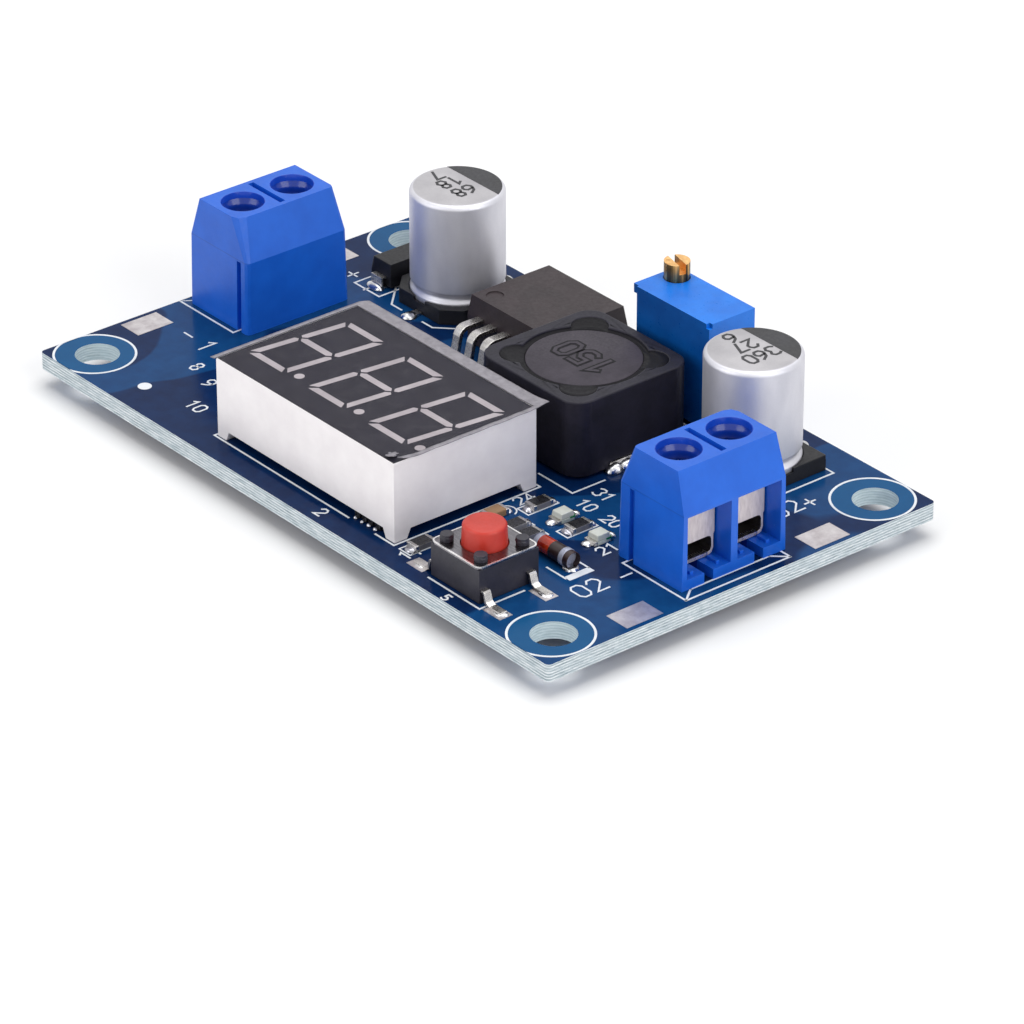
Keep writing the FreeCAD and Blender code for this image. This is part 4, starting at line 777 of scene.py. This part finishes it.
def board_pads():
    bm = bmesh.new()
    z0 = TOP - SINK
    z1 = TOP + PAD_RISE
    for x, y in CORNER_PADS:
        brick(bm, x - 1.21, x + 1.21, y - 1.8, y + 1.8, z0, z1)
    lo, hi = span("button_legs")
    for y in (lo.y + 0.2, hi.y - 0.5):
        for x0, x1 in ((lo.x - 0.3, lo.x + 1.6), (hi.x - 1.6, hi.x + 0.49)):
            brick(bm, x0, x1, y - 0.64, y + 0.64, z0, z1)
    finish_mesh("board_tinned_pads", bm, PAD_TIN, smooth=False)


# Solder: heaps on the surface leads, and cones round the through-hole tails underneath
def heap(bm, x, y, size_x, size_y, height):
    phase = RNG.uniform(0, 6)
    for vert in bmesh.ops.create_icosphere(bm, subdivisions=3, radius=1.0)["verts"]:
        swell = 1 + 0.07 * math.sin(3 * vert.co.x + phase) + 0.06 * math.sin(4 * vert.co.y - phase)
        rise = vert.co.z if vert.co.z > 0 else vert.co.z * 0.06
        vert.co = (x + vert.co.x * size_x / 2 * swell, y + vert.co.y * size_y / 2 * swell,
                   TOP + rise * height * swell)


def heaps_at_ends(bm, node, gap, size_x, size_y, height, shift=0.0):
    lo, hi = span(node)
    for y in (lo.y - gap, hi.y + gap):
        heap(bm, (lo.x + hi.x) / 2 + shift, y, size_x, size_y, height)


def solder_top():
    bm = bmesh.new()
    for node in CHIP_RESISTORS + ["chip_capacitor"]:
        heaps_at_ends(bm, node, 0.12, 1.2, 0.8, 0.34)
    lo, hi = span("resistor_array")
    for index in range(4):
        x = lo.x + (hi.x - lo.x) * (index + 0.5) / 4
        for y in (lo.y - 0.1, hi.y + 0.1):
            heap(bm, x, y, 0.42, 0.55, 0.25)
    finish_mesh("chip_solder", bm, DARK_SOLDER, angle=80)
    bm = bmesh.new()
    lo, hi = span("button_legs")
    for y in (lo.y + 0.3, hi.y - 0.4):
        for x in (lo.x + 0.6, hi.x - 0.4):
            heap(bm, x, y, 1.6, 0.95, 0.16)
    for end in ENDS:
        heaps_at_ends(bm, end + "_led", 0.17, 1.05, 0.85, 0.32, -0.1)
    lo, hi = span("glass_diode_end_caps")
    y = (lo.y + hi.y) / 2
    heap(bm, lo.x - 0.2, y, 1.2, 1.4, 0.3)
    heap(bm, hi.x + 0.25, y, 1.3, 1.4, 0.3)
    lo, hi = span("inductor_terminals")
    for x in (lo.x - 0.25, hi.x + 0.25):
        for share in (0.04, 0.3, 0.55, 0.8):
            heap(bm, x, lo.y + (hi.y - lo.y) * share, 1.4, 1.6, 0.75 - 0.25 * share)
    for end in ENDS:
        heaps_at_ends(bm, end + "_capacitor_leads", 0.1, 1.5, 1.3, 0.4)
    heaps_at_ends(bm, "input_diode_leads", 0.15, 1.8, 1.1, 0.5)
    lo, hi = span("regulator_leads")
    for index in range(5):
        x = lo.x + 0.4 + (hi.x - lo.x - 0.8) * index / 4
        heap(bm, x, lo.y + 0.6, 1.1, 1.9, 0.42)
    lo, hi = span("regulator_tab")
    heap(bm, (lo.x + hi.x) / 2, hi.y, hi.x - lo.x, 0.9, 0.5)
    finish_mesh("solder_fillets", bm, SOLDER, angle=80)


def solder_under():
    bm = bmesh.new()
    tails = []
    for end, sign in POLES:
        lo, hi = span(end + "_" + sign + "_contact")
        x = lo.x + 0.25 if end == "output" else hi.x - 0.25
        tails.append((x, (lo.y + hi.y) / 2, 0.45, 1.05))
    lo, hi = span("display_pins")
    for row_y in (lo.y + 0.25, hi.y - 0.25):
        for index in range(6):
            tails.append((lo.x + 0.25 + (hi.x - lo.x - 0.5) * index / 5, row_y, 0.25, 0.8))
    lo, hi = span("trimmer_pins")
    for index in range(3):
        tails.append((lo.x + 0.25 + (hi.x - lo.x - 0.5) * index / 2, (lo.y + hi.y) / 2, 0.25, 0.8))
    for x, y, pin, pad in tails:
        profile = [(pin - 0.05, 0.02), (pad, 0.02), (pad, -0.04), (pad * 0.75, -0.22), (pin + 0.16, -0.6),
                   (pin + 0.06, -0.95), (pin - 0.05, -1.0)]
        lathe(bm, profile, (x, y, 0), 20)
    finish_mesh("solder_cones", bm, SOLDER, angle=80)


# Drum with a pressed number on its top flange, its strokes ringed with a dark outline as painted shade for
# the pressed grooves
DRUM_FLANGE = 1.3
DRUM_CORE_R = 2.4


def drum():
    centre = middle("inductor_drum_core")
    lo, hi = span("inductor_drum_core")
    z0, z1 = lo.z, hi.z
    radius = hi.x - centre.x
    bm = bmesh.new()
    profile = [(0, z0), (radius, z0), (radius, z0 + DRUM_FLANGE), (DRUM_CORE_R, z0 + DRUM_FLANGE),
               (DRUM_CORE_R, z1 - DRUM_FLANGE), (radius, z1 - DRUM_FLANGE), (radius, z1 - 0.12),
               (radius - 0.04, z1 - 0.04), (radius - 0.12, z1), (0, z1)]
    lathe(bm, [(r, z - centre.z) for r, z in profile], centre, 72)
    piece = finish_mesh("drum_core_body", bm, DRUM)
    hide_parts("inductor_drum_core")
    # Painted shade: a dark outline round each stroke of the number, for the shade in the pressed grooves.
    bm = bmesh.new()
    digits(bm, "150", (centre.x, centre.y), 2.3, 180, 0.7, z1 - 0.05, z1 + 0.01)
    finish_mesh("drum_core_number", bm, GLUE_AND_GROOVE_SHADE, smooth=False)
    bm = bmesh.new()
    digits(bm, "150", (centre.x, centre.y), 2.3, 180, 0.3, z1 - 0.05, z1 + 0.03)
    finish_mesh("drum_core_number_fill", bm, DRUM, smooth=False)


# Dark adhesive between drum and shield, with a lobe in each corner
ADHESIVE_STEPS = 144
SHIELD_BORE_R = 5.2
LOBE_REACH = 5.23
LOBE_R = 1.5


def adhesive():
    centre = middle("inductor_drum_core")
    z1 = high("inductor_shield").z
    bm = bmesh.new()
    rings = []
    inner = (high("inductor_drum_core").x - centre.x) + 0.03
    for level in range(4):
        ring = []
        share = level / 3
        for step in range(ADHESIVE_STEPS):
            angle = 2 * math.pi * step / ADHESIVE_STEPS
            offset = (angle % (math.pi / 2)) - math.pi / 4
            inside = LOBE_R ** 2 - (LOBE_REACH * math.sin(offset)) ** 2
            outer = SHIELD_BORE_R
            if inside > 0:
                outer = max(outer, LOBE_REACH * math.cos(offset) + math.sqrt(inside))
            lobe = (outer - SHIELD_BORE_R) / (LOBE_REACH + LOBE_R - SHIELD_BORE_R)
            radius = inner + (outer - inner) * share
            sag = 0.1 * math.sin(math.pi * share) - 0.02 * lobe
            height = z1 - 0.16 - sag + (0.1 * share if lobe > 0.2 else 0.02 * share)
            x = centre.x + radius * math.cos(angle)
            y = centre.y + radius * math.sin(angle)
            ring.append(bm.verts.new((x, y, height)))
        rings.append(ring)
    for first, second in zip(rings, rings[1:]):
        for step in range(ADHESIVE_STEPS):
            nxt = (step + 1) % ADHESIVE_STEPS
            bm.faces.new((first[step], second[step], second[nxt], first[nxt]))
    piece = finish_mesh("adhesive_fill", bm, GLUE_AND_GROOVE_SHADE, angle=60)
    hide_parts("inductor_adhesive")
    thicken(piece, 0.3, -1)


# Button plunger with its rounded top; the stem ends a press above the dome
PRESS_DEPTH = 0.26


def plunger():
    node = "button_plunger"
    centre = middle(node)
    lo, hi = span(node)
    z0, z1 = lo.z + PRESS_DEPTH, hi.z
    stem_r = 1.0
    radius = 1.8
    top_radius = 1.74
    edge = 0.28
    flange = (hi.x - lo.x) / 2
    seat = low("button_cover").z - 0.085
    shoulder = seat - 0.5
    collar = high("button_cover").z + 0.25
    bm = bmesh.new()
    profile = [(0, z0), (stem_r, z0), (stem_r, shoulder), (flange, shoulder), (flange, seat),
               (radius, seat), (radius, collar)]
    profile += arc_points(top_radius - edge, z1 - edge, edge, 0, 90, 6)
    profile += [(0.9, z1), (0.5, z1 - 0.02), (0, z1 - 0.03)]
    lathe(bm, [(r, z - centre.z) for r, z in profile], centre, 64)
    piece = finish_mesh("plunger_cap", bm, RED, "button", angle=40)
    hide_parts(node)


# Button cover: four riveted stud heads, and a bright strip along its edge as a painted highlight
STUD_PLACE = 2.05
STUD_R = 0.54
COVER_CORNER = 0.55


def button_trim():
    lo, hi = span("button_cover")
    centre = middle("button_cover")
    top = high("button_base").z
    bm = bmesh.new()
    for side_x, side_y in SIDES:
        made = bmesh.ops.create_icosphere(bm, subdivisions=4, radius=1.0)["verts"]
        phase = RNG.uniform(0, 6)
        for vert in made:
            x, y, z = vert.co
            swell = 1 + 0.06 * math.sin(4 * x + phase) * math.cos(3 * y - phase)
            swell += 0.03 * math.sin(9 * z + 7 * x)
            vert.co = (centre.x + side_x * STUD_PLACE + x * STUD_R * swell,
                       centre.y + side_y * STUD_PLACE + y * STUD_R * swell,
                       top - 0.3 + z * (0.3 if z > 0 else 0.26) * min(1.0, swell))
    finish_mesh("button_stud_heads", bm, BUTTON_BLACK, angle=80)
    # Painted highlight: a bright steel strip laid along the cover's edge.
    highlight_rim = []
    for x, y, start in ((hi.x, hi.y, 0), (lo.x, hi.y, 90), (lo.x, lo.y, 180), (hi.x, lo.y, 270)):
        inset_x = x - math.copysign(COVER_CORNER, x - centre.x)
        inset_y = y - math.copysign(COVER_CORNER, y - centre.y)
        highlight_rim += arc_points(inset_x, inset_y, COVER_CORNER - 0.06, start, start + 90, 6)
    bm = bmesh.new()
    ribbon(bm, highlight_rim, FINE_LINE, hi.z - 0.06, hi.z + 0.012, closed=True)
    finish_mesh("button_cover_painted_highlight", bm, BRIGHT_STEEL, smooth=False)


# Glass diode: tube, dark core and band, and two rounded end caps
GLASS_R = 0.7
CAP_DEPTH = 0.5
BAND_START = 1.8
BAND_END = 4.12


def glass_diode():
    lo, hi = span("glass_diode_end_caps")
    y = (lo.y + hi.y) / 2
    z = (lo.z + hi.z) / 2
    cap_r = (hi.z - lo.z) / 2
    bm = bmesh.new()
    for start, way, cap in ((lo.x, 1, cap_r - 0.04), (hi.x, -1, cap_r)):
        profile = [(0, 0), (cap - 0.12, 0), (cap - 0.03, 0.04 * way), (cap, 0.14 * way),
                   (cap, 0.5 * way), (cap - 0.06, 0.56 * way), (0, 0.56 * way)]
        lathe(bm, profile, (start, y, z), 40, "X")
    piece = finish_mesh("glass_diode_caps", bm, DIODE_TIN)
    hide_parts("glass_diode_end_caps")
    end = hi.x - lo.x - CAP_DEPTH
    bm = bmesh.new()
    lathe(bm, [(0, CAP_DEPTH), (GLASS_R, CAP_DEPTH), (GLASS_R, end), (0, end)], (lo.x, y, z), 40, "X")
    piece = finish_mesh("glass_diode_tube", bm, ORANGE)
    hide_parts("glass_diode_body")
    bm = bmesh.new()
    lathe(bm, [(0.28, CAP_DEPTH), (0.28, end)], (lo.x, y, z), 24, "X")
    under, over = GLASS_R - 0.02, GLASS_R + 0.012
    profile = [(under, BAND_START), (over, BAND_START + 0.02), (over, BAND_END - 0.02), (under, BAND_END)]
    lathe(bm, profile, (lo.x, y, z), 40, "X")
    finish_mesh("glass_diode_band", bm, DIODE_CORE)


# Indicator lights: pale base, metal ends, a crowned resin lens and a green mark
LED_BASE_RISE = 0.33
LED_END = 0.36


def indicator(node):
    lo, hi = span(node)
    x = (lo.x + hi.x) / 2
    y = (lo.y + hi.y) / 2
    half_x = (hi.x - lo.x) / 2
    base_top = lo.z + LED_BASE_RISE
    bm = bmesh.new()
    brick(bm, lo.x, hi.x, lo.y + 0.35, hi.y - 0.35, lo.z, base_top)
    piece = finish_mesh(node + "_base", bm, LED_BOARD, bevel=0.03)
    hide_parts(node)
    bm = bmesh.new()
    for y0, y1 in ((lo.y, lo.y + LED_END), (hi.y - LED_END, hi.y)):
        brick(bm, lo.x, hi.x, y0, y1, lo.z, base_top + 0.03)
    finish_mesh(node + "_ends", bm, LEAD_TIN, bevel=0.04)
    bm = bmesh.new()
    foot = corners(x - half_x, x + half_x, y - 0.7, y + 0.66)
    crown = [(a * 0.9 + x * 0.1, b * 0.88 + y * 0.12) for a, b in foot]
    loft(bm, foot, crown, base_top, hi.z)
    finish_mesh(node + "_lens", bm, LED_RESIN, bevel=0.09)
    bm = bmesh.new()
    for x0, x1, y0, y1, drop, rise in (
        (x - 0.35, x + 0.35, y - 0.2, y + 0.05, SINK, 0.03),
        (x - 0.12, x + 0.12, y + 0.05, y + 0.4, SINK, 0.03),
        (x - 0.55, x + 0.6, hi.y - LED_END, hi.y - 0.22, 0, 0.05),
        (hi.x - 0.16, hi.x + 0.01, hi.y - 0.8, hi.y - 0.3, 0.1, 0.05),
    ):
        brick(bm, x0, x1, y0, y1, base_top - drop, base_top + rise)
    finish_mesh(node + "_mark", bm, GREEN, smooth=False)


# Chip parts: ceramic body, glazed top and wrapped metal ends
CHIP_END = 0.34


def chip(node, coat):
    lo, hi = span(node)
    bm = bmesh.new()
    brick(bm, lo.x + 0.02, hi.x - 0.02, lo.y + 0.02, hi.y - 0.02, lo.z + 0.02, hi.z - 0.05)
    piece = finish_mesh(node + "_body", bm, CERAMIC if coat is CHIP else coat, bevel=0.03)
    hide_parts(node)
    bm = bmesh.new()
    for y0, y1 in ((lo.y, lo.y + CHIP_END), (hi.y - CHIP_END, hi.y)):
        brick(bm, lo.x, hi.x, y0, y1, lo.z, hi.z - 0.02)
    finish_mesh(node + "_ends", bm, LEAD_TIN, bevel=0.06)
    bm = bmesh.new()
    y0, y1 = lo.y + CHIP_END - 0.06, hi.y - CHIP_END + 0.06
    brick(bm, lo.x + 0.04, hi.x - 0.04, y0, y1, hi.z - 0.06, hi.z)
    finish_mesh(node + "_glaze", bm, coat, bevel=0.03)


# Display: dark face plate with three figures of seven mitred bars, and a dot after each
FIGURE_PITCH = 7.6
FIGURE_HALF_X = 2.4
FIGURE_HALF_Y = 4.7
FIGURE_SLANT = 0.11
BAR_WIDTH = 0.62
MITRE_GAP = 0.3
MITRE_RUN = 0.45
BAR_RISE = 0.006
DOT_R = 0.43
DOT_PLACE = (3.44, -4.04)
FACE_CENTRE_SHIFT = (-0.05, 0.12)


def figure_bars():
    wide, tall, w, g = FIGURE_HALF_X, FIGURE_HALF_Y, BAR_WIDTH, MITRE_GAP
    tip = wide - w * 0.75
    turn = wide - w * 1.3
    bars = [[(-tip, 0), (-turn, w / 2), (turn, w / 2), (tip, 0), (turn, -w / 2), (-turn, -w / 2)]]
    for up in (-1, 1):
        outer = wide - g
        inner = outer - MITRE_RUN
        bars.append([(-outer, up * tall), (outer, up * tall), (inner, up * (tall - w)),
                     (-inner, up * (tall - w))])
        for side in (-1, 1):
            outer = side * wide
            inner = side * (wide - w)
            bars.append([(outer, up * (tall - g)), (inner, up * (tall - g - MITRE_RUN)),
                         (inner, up * (g * 0.5 + w * 0.5)), (side * (wide - w * 0.5), up * g * 0.5),
                         (outer, up * (g * 0.5 + w * 0.3))])
    return bars


def display():
    lo, hi = span("display_face")
    bm = bmesh.new()
    brick(bm, lo.x, hi.x, lo.y, hi.y, lo.z, hi.z)
    bmesh.ops.subdivide_edges(bm, edges=bm.edges, cuts=3, use_grid_fill=True)
    piece = finish_mesh("face_plate", bm, FACE, smooth=False)
    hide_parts("display_face")
    centre = middle("display_face")
    bm = bmesh.new()
    z0, z1 = hi.z - 0.02, hi.z + BAR_RISE
    for index in (-1, 0, 1):
        x0 = centre.x + FACE_CENTRE_SHIFT[0] + index * FIGURE_PITCH
        y0 = centre.y + FACE_CENTRE_SHIFT[1]
        for bar in figure_bars():
            slab(bm, [(x0 + u + FIGURE_SLANT * v, y0 + v) for u, v in bar], z0, z1)
        dot_x = x0 + DOT_PLACE[0] + FIGURE_SLANT * DOT_PLACE[1]
        slab(bm, circle(dot_x, y0 + DOT_PLACE[1], DOT_R, 28), z0, z1)
    piece = finish_mesh("segment_bars", bm, BARS, smooth=False)
    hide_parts("display_segments")


# Ridges across the front edge of each rising cage's floor
RIDGE_PITCH = 0.2
RIDGE_HALF = 0.055


def cage_ridges():
    for end, sign in POLES:
        node = end + "_" + sign + "_cage"
        lo, hi = span(node)
        facing = 1 if end == "output" else -1
        front = hi.x if end == "output" else lo.x
        x0, x1 = sorted((front + 0.03 * facing, front - 0.5 * facing))
        bm = bmesh.new()
        y = lo.y + 0.6
        while y < hi.y - 0.6:
            brick(bm, x0, x1, y - RIDGE_HALF, y + RIDGE_HALF, lo.z + 0.04, lo.z + 0.35)
            y += RIDGE_PITCH
        body = end + "_" + sign + "_clamp_cage"
        piece = finish_mesh(node + "_ridges", bm, BRIGHT_STEEL, body, smooth=False)


# Screw holes: each narrows at a rounded step above the screw head, coloured a darker blue than the housing
# as painted shade in the hole
def hole_steps():
    for end, sign in POLES:
        centre = middle(end + "_" + sign + "_screw")
        top = high(end + "_terminal_housing").z
        profile = [(SCREW_HOLE_R, -0.55), (1.78, -0.62), (1.7, -0.8), (1.6, -0.93), (1.53, -1.1),
                   (1.5, -1.35), (1.5, -1.6), (SCREW_HOLE_R, -1.7)]
        bm = bmesh.new()
        lathe(bm, profile, (centre.x, centre.y, top), 48)
        finish_mesh(end + "_" + sign + "_hole_step", bm, HOLE_SHADE_BLUE, angle=60)


# Protective film: clear over the face, frosted where it overhangs, lifted and wrinkled at the near corner
FILM_THICK = 0.05
FILM_COLUMNS = 110
FILM_ROWS = 74


def film():
    lo, hi = span("display_film")
    near_corner, far_corner = span("display_housing")
    left, front = near_corner.x, near_corner.y
    right, back = far_corner.x, far_corner.y
    crease = [(right - 2.4, 0.0), (right - 1.5, 0.28), (right - 1.1, 0.16), (right - 0.4, 0.45),
              (hi.x, 0.9)]

    def start_y(x):
        if x <= crease[0][0]:
            return front - 0.3 * max(0.0, 1 - (x - lo.x) / 1.1)
        for (xa, ya), (xb, yb) in zip(crease, crease[1:]):
            if x <= xb:
                return front + ya + (yb - ya) * (x - xa) / (xb - xa)
        return front + crease[-1][1]

    def height(x, y):
        near = max(0.0, 1 - math.hypot(x - right, y - front) / 2.6)
        tip = max(0.0, 1 - math.hypot(x - right, y - back - 1) / 2.5)
        edge = max(0.0, 1 - (right - x) / 0.9) if x < right else 1.0
        ripple = 0.02 * edge * (1 + math.sin(2.3 * y)) * math.sin(1.1 * y + 0.4)
        crumple = 0.1 * near * math.sin(4.1 * x + 1.3 * y) * math.sin(3.2 * y - 1.7 * x)
        return lo.z + 0.01 + 0.42 * near * near + 0.2 * tip * tip + abs(ripple) + abs(crumple)

    def frosted(x, y):
        corner = math.hypot(x - right, y - front)
        wrinkled = corner < 1.7 and math.sin(3.7 * x + 2.1 * y) > 0.1
        return y > back - 0.04 or x < left + 0.02 or x > right - 0.3 or wrinkled

    meshes = {False: bmesh.new(), True: bmesh.new()}
    made = {False: {}, True: {}}
    grid = {}
    for i in range(FILM_COLUMNS + 1):
        x = lo.x + (hi.x - lo.x) * i / FILM_COLUMNS
        start = start_y(x)
        end = hi.y - (left - x if x < left else 0) * 2.2
        for j in range(FILM_ROWS + 1):
            y = start + (end - start) * j / FILM_ROWS
            grid[i, j] = (x, y, height(x, y))
    for i in range(FILM_COLUMNS):
        for j in range(FILM_ROWS):
            cell = [(i, j), (i + 1, j), (i + 1, j + 1), (i, j + 1)]
            kind = frosted(*(sum(grid[c][axis] for c in cell) / 4 for axis in (0, 1)))
            verts = []
            for key in cell:
                if key not in made[kind]:
                    made[kind][key] = meshes[kind].verts.new(grid[key])
                verts.append(made[kind][key])
            meshes[kind].faces.new(verts)
    for name, kind, material in (("film_clear", False, film_material()),
                                 ("film_frosted", True, frosted_material())):
        piece = finish_mesh(name, meshes[kind], material, angle=60)
        thicken(piece, FILM_THICK, 1)
        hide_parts("display_film")


# Camera at the photograph's angle
def camera():
    a, e = CAMERA_AZIMUTH, CAMERA_ELEVATION
    back = Vector((math.sin(a) * math.cos(e), -math.cos(a) * math.cos(e), math.sin(e)))
    right = Vector((math.cos(a), math.sin(a), 0))
    up = back.cross(right)
    data = bpy.data.cameras.new("camera")
    data.lens = CAMERA_LENS
    data.sensor_width = SENSOR_WIDTH
    data.clip_start = 0.01
    data.clip_end = 20
    eye = add_object("camera", data)
    place = right * CAMERA_RIGHT + up * CAMERA_UP + back * CAMERA_DISTANCE + Vector((0, 0, TOP))
    turn = Matrix((right, up, back)).transposed().to_4x4()
    eye.matrix_world = Matrix.Translation(place * MM) @ turn
    bpy.context.scene.camera = eye


# Soft studio light, a white floor and a white backdrop
FLOOR_HALF = 3000


def lamp(name, place, aim, size, power, tint=(1, 1, 1)):
    data = bpy.data.lights.new(name, "AREA")
    data.shape = "SQUARE"
    data.size = size
    data.energy = power
    data.color = tint
    light = add_object(name, data)
    light.location = place
    direction = Vector(aim) - Vector(place)
    light.rotation_mode = "QUATERNION"
    light.rotation_quaternion = direction.to_track_quat("-Z", "Y")


def studio():
    lamp("overhead", (-0.05, 0.1, 0.55), (0, 0, 0), 0.55, 1.9)
    lamp("right_fill", (0.5, 0.05, 0.25), (0, 0, 0.005), 0.4, 1.15)
    lamp("left_fill", (-0.1, -0.5, 0.25), (0, 0, 0.005), 0.4, 0.95)
    world = bpy.data.worlds.new("studio")
    bpy.context.scene.world = world
    world.use_nodes = True
    tree = world.node_tree
    background = tree.nodes["Background"]
    background.inputs["Color"].default_value = (1, 1, 1, 1)
    path = tree.nodes.new("ShaderNodeLightPath")
    seen = path.outputs["Is Camera Ray"]
    for kind in ("Is Glossy Ray", "Is Transmission Ray"):
        larger = tree.nodes.new("ShaderNodeMath")
        larger.operation = "MAXIMUM"
        tree.links.new(seen, larger.inputs[0])
        tree.links.new(path.outputs[kind], larger.inputs[1])
        seen = larger.outputs[0]
    strength = tree.nodes.new("ShaderNodeMapRange")
    strength.inputs["To Min"].default_value = 0.45
    strength.inputs["To Max"].default_value = 1.0
    tree.links.new(seen, strength.inputs["Value"])
    tree.links.new(strength.outputs["Result"], background.inputs["Strength"])
    bm = bmesh.new()
    half = FLOOR_HALF * MM
    bm.faces.new([bm.verts.new((x, y, FLOOR_Z * MM)) for x, y in corners(-half, half, -half, half)])
    mesh = bpy.data.meshes.new("floor")
    bm.to_mesh(mesh)
    bm.free()
    floor = add_object("floor", mesh)
    nodes = Nodes("white_floor")
    tone = nodes.noise(0.004, 2, 0.5)
    white = nodes.ramp(tone, [(0.3, (0.93, 0.93, 0.935)), (0.7, (0.95, 0.95, 0.955))])
    nodes.set(base_color=white, roughness=0.9)
    mesh.materials.append(nodes.material)


# Every piece in turn, then the camera and the light
for end in ENDS:
    can_piece(end)
    base_posts(end)
board_marks()
board_pads()
solder_top()
solder_under()
drum()
adhesive()
plunger()
button_trim()
glass_diode()
for end in ENDS:
    indicator(end + "_led")
for resistor in CHIP_RESISTORS:
    chip(resistor, CHIP)
chip("chip_capacitor", TAN)
display()
cage_ridges()
hole_steps()
film()
camera()
studio()
bpy.context.scene.view_settings.view_transform = "Standard"
